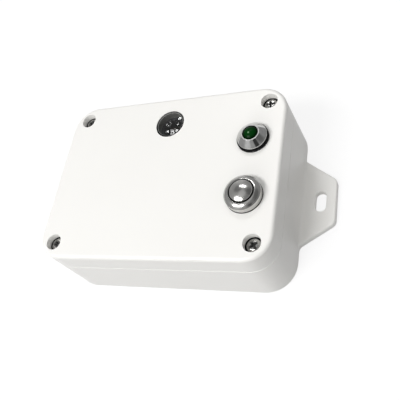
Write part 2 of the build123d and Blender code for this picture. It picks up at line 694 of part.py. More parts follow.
# Main board and what is on it
with BuildPart() as main_board:
    with BuildSketch(Plane.XY.offset(BOARD_BOTTOM)):
        with Locations(BOARD_CENTRE):
            Rectangle(BOARD_SIZE[0], BOARD_SIZE[1])
            with GridLocations(*BOARD_SCREW_SPACING, 2, 2):
                Circle(BOARD_SCREW_RADIUS + SCREW_CLEARANCE, mode=Mode.SUBTRACT)
    extrude(amount=BOARD_SIZE[2])

with BuildPart() as board_screws:
    with BuildSketch(Plane.XY.offset(BOARD_TOP)):
        with Locations(BOARD_CENTRE):
            with GridLocations(*BOARD_SCREW_SPACING, 2, 2):
                Circle(BOARD_SCREW_HEAD[0])
    extrude(amount=BOARD_SCREW_HEAD[1])
    with BuildSketch(Plane.XY.offset(BOARD_TOP)):
        with Locations(BOARD_CENTRE):
            with GridLocations(*BOARD_SCREW_SPACING, 2, 2):
                Circle(BOARD_SCREW_RADIUS)
    extrude(amount=-BOARD_SCREW_LENGTH)

with BuildPart() as radio_board:
    with BuildSketch(Plane.XY.offset(BOARD_TOP)):
        with Locations(RADIO_CENTRE):
            Rectangle(RADIO_SIZE[0], RADIO_SIZE[1])
    extrude(amount=RADIO_SIZE[2])

radio_top = BOARD_TOP + RADIO_SIZE[2]
with BuildPart() as radio_shield:
    with BuildSketch(Plane.XY.offset(radio_top)):
        with Locations((RADIO_CENTRE[0], RADIO_CENTRE[1] + SHIELD_OFFSET)):
            RectangleRounded(SHIELD_SIZE[0], SHIELD_SIZE[1], SHIELD_CORNER)
    extrude(amount=SHIELD_SIZE[2])
    fillet(radio_shield.faces().sort_by(Axis.Z)[-1].edges(), SHIELD_EDGE)

antenna_foot = (*ANTENNA, radio_top + ANTENNA_WIRE)
antenna = spring(ANTENNA_PITCH, ANTENNA_HEIGHT, ANTENNA_RADIUS, ANTENNA_WIRE, antenna_foot)

with BuildPart() as microcontroller:
    with BuildSketch(Plane.XY.offset(BOARD_TOP)):
        with Locations(CHIP_CENTRE):
            Rectangle(CHIP_SIZE[0], CHIP_SIZE[1])
    extrude(amount=CHIP_SIZE[2])
    chamfer(microcontroller.edges().filter_by(Axis.Z).sort_by(Axis.X)[0], CHIP_CORNER)

with BuildPart() as crystal:
    with BuildSketch(Plane.XY.offset(BOARD_TOP)):
        with Locations(CRYSTAL_CENTRE):
            SlotOverall(CRYSTAL_SIZE[0], CRYSTAL_SIZE[1])
    extrude(amount=CRYSTAL_SIZE[2])
    fillet(crystal.faces().sort_by(Axis.Z)[-1].edges(), CRYSTAL_EDGE)

with BuildPart() as board_passives:
    with BuildSketch(Plane.XY.offset(BOARD_TOP)):
        with Locations(PASSIVE_CENTRE):
            with GridLocations(*PASSIVE_SPACING, *PASSIVE_COUNT):
                Rectangle(PASSIVE_SIZE[0], PASSIVE_SIZE[1])
    extrude(amount=PASSIVE_SIZE[2])

# Each socket's place, its size along X and its size along Y
sockets = [
    (LED_SOCKET, SOCKET_SIZE[1], SOCKET_SIZE[0]),
    (BUTTON_SOCKET, SOCKET_SIZE[0], SOCKET_SIZE[1]),
    (BATTERY_SOCKET, SOCKET_SIZE[0], SOCKET_SIZE[1]),
    (SENSOR_SOCKET, SOCKET_SIZE[1], SENSOR_SOCKET_LENGTH),
]
with BuildPart() as board_connectors:
    for place, along_x, along_y in sockets:
        with BuildSketch(Plane.XY.offset(BOARD_TOP)):
            with Locations(place):
                Rectangle(along_x, along_y)
        extrude(amount=SOCKET_SIZE[2])
        with BuildSketch(Plane.XY.offset(BOARD_TOP + SOCKET_FLOOR)):
            with Locations(place):
                Rectangle(along_x - 2 * SOCKET_WALL, along_y - 2 * SOCKET_WALL)
        extrude(amount=SOCKET_SIZE[2], mode=Mode.SUBTRACT)

plug_inset = SOCKET_WALL + PLUG_CLEARANCE
with BuildPart() as lead_plugs:
    for place, along_x, along_y in sockets:
        with BuildSketch(Plane.XY.offset(BOARD_TOP + SOCKET_FLOOR)):
            with Locations(place):
                Rectangle(along_x - 2 * plug_inset, along_y - 2 * plug_inset)
        extrude(amount=PLUG_TOP - BOARD_TOP - SOCKET_FLOOR)

# Battery tray, contacts and cells
tray_ends = [TRAY_CENTRE[0] - TRAY_SIZE[0] / 2 + TRAY_WALL, TRAY_CENTRE[0] + TRAY_SIZE[0] / 2 - TRAY_WALL]
cell_lines = [TRAY_CENTRE[1] + CELL_SPACING / 2, TRAY_CENTRE[1] - CELL_SPACING / 2]
with BuildPart() as battery_holder:
    with BuildSketch(Plane.XY.offset(TRAY_BOTTOM)):
        with Locations(TRAY_CENTRE):
            Rectangle(TRAY_SIZE[0], TRAY_SIZE[1])
    extrude(amount=TRAY_SIZE[2])
    with BuildSketch(Plane.XY.offset(CELL_HEIGHT - CELL_RADIUS - CELL_GAP)):
        with Locations(TRAY_CENTRE):
            with GridLocations(0, CELL_SPACING, 1, 2):
                Rectangle(TRAY_SIZE[0] - 2 * TRAY_WALL, CHANNEL_WIDTH)
        with Locations((tray_ends[0] + TRAY_WALL / 2, TRAY_CENTRE[1])):
            Rectangle(TRAY_WALL, CELL_SPACING)
    extrude(amount=TRAY_SIZE[2], mode=Mode.SUBTRACT)
    with BuildSketch(Plane.YZ.offset(tray_ends[1])):
        with Locations(*[(line, CELL_HEIGHT) for line in cell_lines]):
            Circle(LEAD_HOLE)
    extrude(amount=TRAY_WALL, mode=Mode.SUBTRACT)

with BuildPart() as battery_plates:
    with BuildSketch(Plane.YZ.offset(tray_ends[0])):
        with Locations((TRAY_CENTRE[1], CELL_HEIGHT)):
            Rectangle(CELL_SPACING + PLATE[0], PLATE[1])
    extrude(amount=PLATE[2])
    with BuildSketch(Plane.YZ.offset(tray_ends[1])):
        with Locations(*[(line, CELL_HEIGHT) for line in cell_lines]):
            Rectangle(PLATE[0], PLATE[1])
    extrude(amount=-PLATE[2])


def cell(line, facing):
    """An AA cell along X whose nub meets the contact plate at the end that it faces."""
    tip = tray_ends[(facing + 1) // 2] - facing * PLATE[2]
    shoulder = tip - facing * NUB[1]
    with BuildPart() as piece:
        with BuildSketch(Plane.YZ.offset(shoulder)):
            with Locations((line, CELL_HEIGHT)):
                Circle(CELL_RADIUS)
        extrude(amount=-facing * CELL_LENGTH)
        fillet(piece.edges().filter_by(GeomType.CIRCLE), CELL_EDGE)
        with BuildSketch(Plane.YZ.offset(shoulder)):
            with Locations((line, CELL_HEIGHT)):
                Circle(NUB[0])
        extrude(amount=facing * NUB[1])
    return piece


def cell_spring(line, facing):
    """The coil behind a cell, standing on the plate at the end that the cell's nub turns from."""
    plate = tray_ends[(1 - facing) // 2] + facing * PLATE[2]
    room = TRAY_SIZE[0] - 2 * TRAY_WALL - 2 * PLATE[2] - CELL_LENGTH - NUB[1]
    return spring(
        CELL_SPRING_PITCH,
        room - 2 * CELL_SPRING_WIRE - 2 * SPRING_GAP,
        CELL_SPRING_RADIUS,
        CELL_SPRING_WIRE,
        (plate + facing * (CELL_SPRING_WIRE + SPRING_GAP), line, CELL_HEIGHT),
        (facing, 0, 0),
    )


battery_1 = cell(cell_lines[0], 1)
battery_2 = cell(cell_lines[1], -1)
with BuildPart() as battery_springs:
    add(cell_spring(cell_lines[0], 1).part)
    add(cell_spring(cell_lines[1], -1).part)

# Leads, from the plugs to the cells, the LED, the button and the sensor's board
plate_face = tray_ends[1]
red_x = BATTERY_SOCKET[0] - PIN_PITCH / 2
battery_lead_red = lead(
    [
        (red_x, BATTERY_SOCKET[1], PLUG_TOP),
        (red_x, BATTERY_SOCKET[1], RED_LEAD_TOP),
        (red_x + RED_LEAD_DRIFT[0], cell_lines[0], RED_LEAD_TOP - RED_LEAD_DROP),
        (red_x + RED_LEAD_DRIFT[1], cell_lines[0], CELL_HEIGHT),
        (plate_face, cell_lines[0], CELL_HEIGHT),
    ],
    RED_LEAD_BENDS,
)

black_x = BATTERY_SOCKET[0] + PIN_PITCH / 2
battery_lead_black = lead(
    [
        (black_x, BATTERY_SOCKET[1], PLUG_TOP),
        (black_x, BATTERY_SOCKET[1], BLACK_LEAD_TOP),
        (black_x + BLACK_LEAD_DRIFT[0], cell_lines[1], BLACK_LEAD_TOP - BLACK_LEAD_DROP),
        (black_x + BLACK_LEAD_DRIFT[1], cell_lines[1], CELL_HEIGHT),
        (plate_face, cell_lines[1], CELL_HEIGHT),
    ],
    BLACK_LEAD_BENDS,
)

with BuildPart() as led_leads:
    for step in (-0.5, 0.5):
        pin_y = LED[1] + step * LED_PIN_PITCH
        corner = (LED_SOCKET[0], pin_y, LED_LEAD_TOP)
        route = [(LED_SOCKET[0], pin_y, PLUG_TOP), corner, (LED[0] - LED_PIN / 2, pin_y, LED_LEAD_TOP)]
        add(lead(route, LED_LEAD_BENDS).part)

with BuildPart() as button_leads:
    for step in (-1, 1):
        start_x = BUTTON_SOCKET[0] + step * PIN_PITCH / 2
        tag_x = BUTTON[0] + step * TAG_OFFSET
        route = [
            (start_x, BUTTON_SOCKET[1], PLUG_TOP),
            (start_x, BUTTON_SOCKET[1], BUTTON_LEAD_HEIGHTS[0]),
            ((start_x + tag_x) / 2, BUTTON_LEAD_TURNS[0], BUTTON_LEAD_HEIGHTS[1]),
            (tag_x, BUTTON_LEAD_TURNS[1], BUTTON_LEAD_HEIGHTS[2]),
            (tag_x, BUTTON[1] + TAG[1] / 2, BUTTON_LEAD_HEIGHTS[2]),
        ]
        add(lead(route, BUTTON_LEAD_BENDS).part)

board_edge = WINDOW[0] - SENSOR_BOARD[0] / 2
board_middle = SENSOR_BOARD_TOP - SENSOR_BOARD[2] / 2
with BuildPart() as sensor_leads:
    for step in (-1.5, -0.5, 0.5, 1.5):
        lead_y = SENSOR_SOCKET[1] + step * SENSOR_PIN_PITCH
        corner = (SENSOR_SOCKET[0], lead_y, board_middle)
        route = [(SENSOR_SOCKET[0], lead_y, PLUG_TOP), corner, (board_edge, lead_y, board_middle)]
        add(lead(route, SENSOR_LEAD_BENDS, SENSOR_LEAD_RADIUS).part)

pieces = {
    "base_shell": base_shell,
    "lid": lid,
    "lid_gasket": lid_gasket,
    "lid_screws": lid_screws,
    "screw_seals": screw_seals,
    "brass_inserts": brass_inserts,
    "window_gasket": window_gasket,
    "window_lens": window_lens,
    "sensor_cup": sensor_cup,
    "sensor_board": sensor_board,
    "sensor_board_screws": sensor_board_screws,
    "light_sensor": light_sensor,
    "led_bezel": led_bezel,
    "led_washer": led_washer,
    "led_lens": led_lens,
    "led_lock_washer": led_lock_washer,
    "led_nut": led_nut,
    "led_pins": led_pins,
    "button_bezel": button_bezel,
    "button_gasket": button_gasket,
    "button_cap": button_cap,
    "button_contact_disc": button_contact_disc,
    "button_spring": button_spring,
    "button_contact_base": button_contact_base,
    "button_terminals": button_terminals,
    "button_lock_washer": button_lock_washer,
    "button_nut": button_nut,
    "main_board": main_board,
    "board_screws": board_screws,
    "radio_board": radio_board,
    "radio_shield": radio_shield,
    "antenna": antenna,
    "microcontroller": microcontroller,
    "crystal": crystal,
    "board_passives": board_passives,
    "board_connectors": board_connectors,
    "lead_plugs": lead_plugs,
    "battery_holder": battery_holder,
    "battery_plates": battery_plates,
    "battery_springs": battery_springs,
    "battery_1": battery_1,
    "battery_2": battery_2,
    "battery_lead_red": battery_lead_red,
    "battery_lead_black": battery_lead_black,
    "led_leads": led_leads,
    "button_leads": button_leads,
    "sensor_leads": sensor_leads,
}
os.makedirs("parts", exist_ok=True)
for name, piece in pieces.items():
    piece.part.label = name
    export_step(piece.part, f"parts/{name}.step")
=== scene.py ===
import json
from math import acos, atan2, cos, hypot, pi, radians, sin, tan

import bmesh
import bpy
from bpy.props import FloatProperty, FloatVectorProperty, IntProperty, PointerProperty
from mathutils import Matrix, Vector


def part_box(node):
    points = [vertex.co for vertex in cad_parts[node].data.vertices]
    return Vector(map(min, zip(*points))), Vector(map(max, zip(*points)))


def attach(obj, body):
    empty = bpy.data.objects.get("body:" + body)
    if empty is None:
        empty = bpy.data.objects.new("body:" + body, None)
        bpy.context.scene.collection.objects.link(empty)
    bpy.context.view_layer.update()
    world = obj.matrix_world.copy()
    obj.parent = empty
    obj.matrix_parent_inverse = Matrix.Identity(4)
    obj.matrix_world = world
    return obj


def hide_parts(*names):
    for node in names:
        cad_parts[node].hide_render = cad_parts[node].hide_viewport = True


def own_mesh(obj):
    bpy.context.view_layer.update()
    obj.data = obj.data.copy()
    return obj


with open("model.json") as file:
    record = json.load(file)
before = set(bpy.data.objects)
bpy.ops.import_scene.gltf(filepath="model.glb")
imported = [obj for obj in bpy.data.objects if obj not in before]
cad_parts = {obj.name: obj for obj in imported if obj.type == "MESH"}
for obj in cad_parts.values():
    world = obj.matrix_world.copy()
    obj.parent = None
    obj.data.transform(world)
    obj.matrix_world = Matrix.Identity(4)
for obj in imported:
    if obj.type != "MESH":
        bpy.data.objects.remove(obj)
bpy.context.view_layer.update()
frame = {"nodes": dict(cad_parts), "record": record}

bl_info = {
    "name": "Wireless Light Sensor",
    "version": (1, 0, 0),
    "blender": (4, 5, 0),
    "location": "3D View > Sidebar > Light Sensor",
    "description": "Turned metal, moulded plastic, glass and studio for the light sensor's frame",
    "category": "Object",
}

MM = 0.001
WELD = 1e-7
LID_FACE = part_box("lid")[1].z
GLASS_MIRROR = 0.045
SLOT_OF = {row["node"]: row["material_slot"] for row in frame["record"]["subparts"]}
BODY_OF = {node: body for body, nodes in frame["record"]["behaviour"]["bodies"].items() for node in nodes}
SLOT_COLORS = {row["slot"]: row["base_color"][:3] for row in frame["record"]["materials"]}

CAMERA_PLACE = (0.100043, -0.092329, 0.188875)
CAMERA_RIGHT = Vector((0.9104, 0.1578, -0.3825))
CAMERA_FORWARD = Vector((-0.4127, 0.4127, -0.812))
CAMERA_LENS = 46.46
CAMERA_SENSOR = 36.0
CAMERA_CLIP = 0.005
FLOOR_SIDE = 6.0
FLOOR_GAP = 0.00002
FLOOR_TONE = 0.24
TENT_RADIUS = 2.0
TENT_LEVEL = 0.42
# azimuth, elevation, radius of the full and of the fading part in degrees, level
TENT_CARDS = (
    (10.0, 20.0, 55.0, 80.0, 0.34),
    (5.0, 58.0, 24.0, 36.0, 0.16),
    (-45.0, 62.0, 12.0, 24.0, 0.28),
    (-56.0, 42.0, 9.0, 15.0, 0.05),
    (-126.0, 32.0, 8.0, 24.0, 0.75),
    (112.0, 10.0, 10.0, 20.0, 0.62),
    (150.0, 86.0, 10.0, 22.0, 0.62),
    (133.0, 51.0, 13.0, 22.0, 0.2),
)


def middle(node):
    """The point of a node's box that is level with the lid's face and on its upright centre line."""
    low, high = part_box(node)
    return Vector(((low.x + high.x) / 2, (low.y + high.y) / 2, LID_FACE))


def direction(azimuth, elevation):
    """A unit vector from the object, azimuth counted from +X towards +Y."""
    a, e = radians(azimuth), radians(elevation)
    return Vector((cos(a) * cos(e), sin(a) * cos(e), sin(e)))


def length(name, description, millimetres):
    """A property that holds a length."""
    return FloatProperty(
        name=name, description=description, default=millimetres * MM, min=0.0, unit="LENGTH", precision=5
    )


def share(name, description, default):
    """A property that holds a number from 0 to 1."""
    return FloatProperty(
        name=name, description=description, default=default, min=0.0, max=1.0, subtype="FACTOR"
    )


def brightness(name, description, default):
    """A property that holds a lamp's or the world's level."""
    return FloatProperty(name=name, description=description, default=default, min=0.0)


class LIGHTSENSOR_PG_colors(bpy.types.PropertyGroup):
    """Base colour of every finish but the clear glass, as the record gives it"""

    __annotations__ = {
        slot: FloatVectorProperty(
            name=slot.replace("_", " ").capitalize(),
            description=f"Base colour of the {slot.replace('_', ' ')} finish",
            default=color,
            min=0.0,
            max=1.0,
            size=3,
            subtype="COLOR",
        )
        for slot, color in SLOT_COLORS.items()
        if slot != "window_glass"
    }


class LIGHTSENSOR_PG_sizes(bpy.types.PropertyGroup):
    """Sizes of the turned and moulded details"""

    steps: IntProperty(name="Steps", description="Facets round a turned piece", default=160, min=24)
    corner_steps: IntProperty(
        name="Corner steps", description="Facets across a rounded edge", default=5, min=1
    )
    ring_edge: length("Ring edge", "Rounding of the window ring's outer edge", 0.2)
    rim_edge: length("Rim edge", "Rounding of the LED bezel's rim", 0.2)
    cross_length: length("Cross length", "Length of a screw's cross recess", 3.9)
    cross_width: length("Cross width", "Width of a wing of the cross recess", 1.05)
    cross_depth: length("Cross depth", "Depth of the cross recess", 1.3)
    thread_pitch: length("Thread pitch", "Pitch of the lid screws' thread", 0.5)


class LIGHTSENSOR_PG_gloss(bpy.types.PropertyGroup):
    """Roughness of the finishes that show"""

    shell: share("Enclosure", "Roughness of the moulded enclosure", 0.36)
    stainless: share("Stainless", "Roughness of the push button's polished steel", 0.18)
    chrome: share("Chrome", "Roughness of the LED bezel's plating", 0.07)
    screws: share("Screws", "Roughness of the lid screws' plating", 0.26)
    rubber: share("Rubber", "Roughness of the rubber seals", 0.55)


class LIGHTSENSOR_PG_studio(bpy.types.PropertyGroup):
    """Levels of the studio's light"""

    ambient: brightness("Ambient", "Strength of the plain grey world", 0.31)
    front_box: brightness("Front box", "Light of the softbox on the left in front", 0.61)
    rear_box: brightness("Rear box", "Light of the long softbox behind", 0.155)
    low_fill: brightness("Low fill", "Light of the low fill on the front side", 0.22)
    side_fill: brightness("Side fill", "Light of the fill on the right side", 0.10)


class Value:
    """One output of a finish's node tree. Python's operators add Math nodes to it."""

    def __init__(self, finish, output):
        self.finish = finish
        self.output = output

    def __add__(self, other):
        return self.finish.math("ADD", self, other)

    def __radd__(self, other):
        return self.finish.math("ADD", other, self)

    def __sub__(self, other):
        return self.finish.math("SUBTRACT", self, other)

    def __rsub__(self, other):
        return self.finish.math("SUBTRACT", other, self)

    def __mul__(self, other):
        return self.finish.math("MULTIPLY", self, other)

    def __rmul__(self, other):
        return self.finish.math("MULTIPLY", other, self)

    def __truediv__(self, other):
        return self.finish.math("DIVIDE", self, other)

    def __pow__(self, other):
        return self.finish.math("POWER", self, other)

    def __gt__(self, other):
        return self.finish.math("GREATER_THAN", self, other)

    def __lt__(self, other):
        return self.finish.math("LESS_THAN", self, other)


class Finish:
    """A procedural material, written as expressions on its object coordinates in millimetres."""

    def __init__(self, name):
        self.material = bpy.data.materials.new(name)
        self.material.use_nodes = True
        self.tree = self.material.node_tree
        self.tree.nodes.clear()
        place = self.node("TexCoord").outputs["Object"]
        self.place = self.vector("SCALE", Value(self, place), scale=1 / MM)

    def node(self, kind, settings=None, inputs=None):
        """Adds a node: its settings come first, then the values or links of its sockets."""
        node = self.tree.nodes.new("ShaderNode" + kind)
        for name, value in (settings or {}).items():
            setattr(node, name, value)
        for name, value in (inputs or {}).items():
            socket = node.inputs[name]
            if isinstance(value, Value):
                self.tree.links.new(value.output, socket)
            elif socket.type == "RGBA":
                socket.default_value = (*value[:3], 1.0)
            else:
                socket.default_value = value
        return node

    def math(self, operation, *values):
        """A Math node's result."""
        node = self.node("Math", {"operation": operation}, dict(enumerate(values)))
        return Value(self, node.outputs[0])

    def vector(self, operation, *values, scale=None):
        """A Vector Math node's result: a vector, or a number where the operation gives one."""
        inputs = dict(enumerate(values))
        if scale is not None:
            inputs["Scale"] = scale
        node = self.node("VectorMath", {"operation": operation}, inputs)
        return Value(self, node.outputs[1 if operation in ("LENGTH", "DOT_PRODUCT") else 0])

    def axis(self, index):
        """One coordinate, in millimetres."""
        return Value(self, self.node("SeparateXYZ", inputs={0: self.place}).outputs[index])

    def radius(self):
        """Distance from the piece's upright axis, in millimetres."""
        return self.vector("LENGTH", self.vector("MULTIPLY", self.place, (1.0, 1.0, 0.0)))

    def noise(self, scale, detail=2.0, place=None, roughness=0.5):
        """Noise with about this many features to a millimetre."""
        inputs = {"Vector": place or self.place, "Scale": scale, "Detail": detail, "Roughness": roughness}
        return Value(self, self.node("TexNoise", inputs=inputs).outputs[0])

    def rings(self, scale):
        """Noise that changes only with the radius and the height, as turning leaves it."""
        place = self.node("CombineXYZ", inputs={0: self.radius(), 1: self.axis(2)}).outputs[0]
        return self.noise(scale, 3.0, Value(self, place), 0.6)

    def cells(self, scale):
        """Distance to the nearest of scattered points."""
        node = self.node("TexVoronoi", inputs={"Vector": self.place, "Scale": scale})
        return Value(self, node.outputs["Distance"])

    def blend(self, share_of_b, a, b):
        """A colour between a and b."""
        node = self.node("Mix", {"data_type": "RGBA"}, {0: share_of_b, 6: a, 7: b})
        return Value(self, node.outputs[2])

    def spread(self, value, low, high):
        """value from 0 to 1, moved to between low and high."""
        return low + value * (high - low)

    def soft_step(self, value, low, high):
        """0 below low, 1 above high, smooth between."""
        inputs = {"Value": value, "From Min": low, "From Max": high, "To Min": 0.0, "To Max": 1.0}
        return Value(self, self.node("MapRange", {"interpolation_type": "SMOOTHSTEP"}, inputs).outputs[0])

    def relief(self, height, strength, depth):
        """A normal from a height of 0 to 1, for a relief depth millimetres deep."""
        inputs = {"Height": height, "Strength": strength, "Distance": depth * MM}
        return Value(self, self.node("Bump", inputs=inputs).outputs[0])

    def shader(self, **sockets):
        """The Principled shader, its sockets named with underscores."""
        inputs = {name.replace("_", " "): value for name, value in sockets.items()}
        return Value(self, self.node("BsdfPrincipled", inputs=inputs).outputs[0])

    def glow(self, tone):
        """A shader that shines with this grey."""
        return Value(self, self.node("Emission", inputs={"Color": tone}).outputs[0])

    def done(self, shader):
        """The material, with this shader as its surface."""
        self.node("OutputMaterial", inputs={"Surface": shader})
        return self.material


def shade(color, factor):
    """A colour made darker or lighter."""
    return tuple(min(channel * factor, 1.0) for channel in color)


def moulded_shell(name, color, roughness):
    """Off-white moulded plastic with a fine spark-eroded texture and a faint change of tone."""
    finish = Finish(name)
    tone = finish.noise(0.03, 3.0)
    grain = finish.noise(6.0, 4.0, roughness=0.65)
    handling = finish.noise(0.12, 4.0)
    base = finish.blend(finish.spread(tone, 0.0, 0.9), color, shade(color, 0.97))
    return finish.done(
        finish.shader(
            Base_Color=base,
            Roughness=finish.spread(handling, roughness - 0.05, roughness + 0.06),
            IOR=1.52,
            Normal=finish.relief(grain, 0.25, 0.02),
        )
    )


def rubber(name, color, roughness):
    """Moulded rubber with a fine bloom."""
    finish = Finish(name)
    bloom = finish.noise(0.9, 4.0)
    grain = finish.noise(9.0, 3.0)
    return finish.done(
        finish.shader(
            Base_Color=finish.blend(finish.soft_step(bloom, 0.45, 0.8), shade(color, 0.4), color),
            Roughness=finish.spread(bloom, roughness - 0.1, roughness + 0.15),
            Specular_IOR_Level=0.05,
            Normal=finish.relief(grain, 0.35, 0.02),
        )
    )


def ring_black(name, color, bore, bevel_width):
    """Dark gloss moulding with a dull inner bevel painted pale grey as a highlight, and its bore painted
    lighter grey as lit wall.
    """
    finish = Finish(name)
    flow = finish.noise(0.5, 3.0)
    radius = finish.radius()
    bevel = radius < bore + bevel_width + 0.02
    inside = radius < bore + 0.01
    # Painted light: the inner bevel is painted pale grey as a highlight, and the bore lighter grey as lit
    # wall, against the black body.
    painted_bevel_highlight, painted_bore_light = (0.3, 0.3, 0.29), (0.13, 0.13, 0.122)
    body = finish.blend(bevel, shade(color, 0.3), painted_bevel_highlight)
    return finish.done(
        finish.shader(
            Base_Color=finish.blend(inside, body, painted_bore_light),
            Roughness=finish.spread(flow, 0.22, 0.32) + bevel * 0.3,
            Specular_IOR_Level=0.08,
            Normal=finish.relief(finish.noise(3.0, 2.0), 0.1, 0.01),
        )
    )


def cup_satin(name, color, mouth, floor):
    """Dark satin moulding, painted lighter at the cup's mouth and darker towards its floor as painted shade
    down the cup.
    """
    finish = Finish(name)
    grain = finish.noise(6.0, 3.0)
    # Painted shade: the colour darkens with depth below the mouth, where shade deepens in the cup.
    down = finish.soft_step(mouth - finish.axis(2), 0.0, (mouth - floor) * 0.7)
    return finish.done(
        finish.shader(
            Base_Color=finish.blend(down, shade(color, 2.0), shade(color, 0.3)),
            Roughness=finish.spread(grain, 0.4, 0.55),
            Specular_IOR_Level=0.15,
            Normal=finish.relief(grain, 0.2, 0.02),
        )
    )


def clip_metal(name, color, polished_to):
    """Blackened spring metal, polished on the fingers and dull on the rim."""
    finish = Finish(name)
    fade = 0.2
    patches = finish.soft_step(finish.noise(1.1, 4.0), 0.35, 0.65)
    rim = finish.soft_step(finish.radius(), polished_to - fade, polished_to + fade)
    return finish.done(
        finish.shader(
            Base_Color=finish.blend(patches, shade(color, 0.13), shade(color, 0.05)),
            Metallic=1.0 - rim,
            Roughness=finish.spread(patches, 0.16, 0.3) + rim * 0.4,
            Specular_IOR_Level=0.1,
        )
    )


def satin_black(name, color, roughness):
    """Dark satin moulding with fine grain."""
    finish = Finish(name)
    grain = finish.noise(6.0, 3.0)
    return finish.done(
        finish.shader(
            Base_Color=finish.blend(grain, shade(color, 0.8), shade(color, 1.2)),
            Roughness=finish.spread(grain, roughness - 0.05, roughness + 0.1),
            Specular_IOR_Level=0.25,
            Normal=finish.relief(grain, 0.2, 0.02),
        )
    )


def plain_moulding(name, color, roughness):
    """Matt technical plastic with a moulding's grain."""
    finish = Finish(name)
    tone = finish.noise(0.25, 3.0)
    return finish.done(
        finish.shader(
            Base_Color=finish.blend(tone, shade(color, 0.88), shade(color, 1.08)),
            Roughness=finish.spread(tone, roughness - 0.06, roughness + 0.08),
            Normal=finish.relief(finish.noise(7.0, 3.0), 0.25, 0.02),
        )
    )


def turned_metal(name, color, roughness):
    """Metal turned on a lathe: rings of slightly different polish, with fine stray scratches."""
    finish = Finish(name)
    rings = finish.rings(5.0)
    smear = finish.noise(0.35, 4.0)
    scratches = finish.soft_step(finish.noise(2.2, 5.0, roughness=0.7), 0.62, 0.7)
    rough = finish.spread(rings, roughness - 0.05, roughness + 0.05) + scratches * 0.08
    return finish.done(
        finish.shader(
            Base_Color=finish.blend(finish.spread(smear, 0.0, 0.6), color, shade(color, 0.88)),
            Metallic=1.0,
            Roughness=rough,
            Normal=finish.relief(rings, 0.12, 0.006),
        )
    )


def gapped_steel(name, color, roughness, gap_radius, gap_top):
    """Polished turned steel, painted near black and dull in the gap between the cap and its ring as painted
    shade.
    """
    finish = Finish(name)
    fade, painted_gap_shade = 0.12, (0.012, 0.012, 0.012)
    rings = finish.rings(4.0)
    smear = finish.noise(0.5, 4.0)
    brushed = finish.noise(1.4, 5.0, roughness=0.65)
    # Painted shade: below the gap's top and inside its radius the steel is painted near black, dull and not
    # metallic.
    below = finish.soft_step(gap_top - finish.axis(2), 0.0, fade)
    gap = below * (finish.radius() < gap_radius)
    tone = finish.blend(finish.spread(smear, 0.0, 0.8), color, shade(color, 0.84))
    return finish.done(
        finish.shader(
            Base_Color=finish.blend(gap, tone, painted_gap_shade),
            Metallic=1.0 - gap,
            Roughness=finish.spread(rings, roughness - 0.05, roughness + 0.04) + brushed * 0.05 + gap * 0.4,
            Normal=finish.relief(brushed, 0.04, 0.01),
        )
    )


def recessed_metal(name, color, roughness, head_top, recess_radius):
    """Turned metal that is dulled in a screw's cross recess and darkened there with painted shade, patchy
    like grime.
    """
    finish = Finish(name)
    rings = finish.rings(3.0)
    # Painted shade: the recess is painted darker with depth below the head's top, in patches.
    depth = finish.soft_step(head_top - finish.axis(2), 0.1, 0.8)
    inside = depth * (finish.radius() < recess_radius)
    grime_and_shade = finish.spread(finish.noise(1.6, 4.0), 0.75, 1.0)
    return finish.done(
        finish.shader(
            Base_Color=finish.blend(inside * grime_and_shade, color, shade(color, 0.05)),
            Metallic=finish.spread(inside, 1.0, 0.4),
            Roughness=finish.spread(rings, roughness - 0.06, roughness + 0.06) + inside * 0.35,
            Normal=finish.relief(rings, 0.2, 0.006),
        )
    )


def plated_metal(name, color, roughness, satin_above=None):
    """Bright plating over metal, with faint dulled patches, and satin above a height where one is given."""
    finish = Finish(name)
    patches = finish.soft_step(finish.noise(0.8, 4.0), 0.4, 0.75)
    rough = finish.spread(patches, roughness, roughness + 0.07)
    if satin_above is not None:
        rough = rough + (finish.axis(2) > satin_above) * 0.4
    return finish.done(
        finish.shader(
            Base_Color=finish.blend(patches, color, shade(color, 0.9)),
            Metallic=1.0,
            Roughness=rough,
            Normal=finish.relief(finish.noise(4.0, 3.0), 0.06, 0.008),
        )
    )


def circuit_board(name, color):
    """Solder mask over copper tracks and pads."""
    finish = Finish(name)
    roughness, pitch, block, cross_pitch = 0.32, 1.27, 4.0, 1.9
    pad_tone = (0.62, 0.6, 0.55)
    x, y = finish.axis(0), finish.axis(1)
    lane_x = finish.math("PINGPONG", x + finish.math("FLOOR", y / block) * pitch, pitch)
    lane_y = finish.math("PINGPONG", y, cross_pitch)
    tracks = finish.math("MAXIMUM", lane_x < 0.14, (lane_y < 0.11) * (finish.noise(0.18) > 0.52))
    pads = finish.cells(0.42) < 0.16
    copper = finish.blend(tracks, color, shade(color, 2.0))
    return finish.done(
        finish.shader(
            Base_Color=finish.blend(pads, copper, pad_tone),
            Metallic=pads,
            Roughness=finish.spread(finish.noise(1.5), roughness, roughness + 0.12),
            Normal=finish.relief(finish.math("MAXIMUM", tracks, pads), 0.5, 0.03),
        )
    )


def cell_sleeve(name, color):
    """A cell's sleeve: a dark body, copper-coloured bands towards its ends and bare steel beyond them."""
    finish = Finish(name)
    band_start, band_end, sleeve_end = 11.0, 23.6, 24.0
    copper, steel = (0.62, 0.3, 0.12), (0.7, 0.7, 0.7)
    from_middle = finish.math("ABSOLUTE", finish.axis(0) - middle("battery_1").x / MM)
    band = (from_middle > band_start) * (from_middle < band_end)
    bare = from_middle > sleeve_end
    sleeve = finish.blend(band, color, copper)
    return finish.done(
        finish.shader(
            Base_Color=finish.blend(bare, sleeve, steel),
            Metallic=finish.math("MAXIMUM", bare, band * 0.8),
            Roughness=finish.spread(finish.noise(0.6, 3.0), 0.22, 0.34),
        )
    )


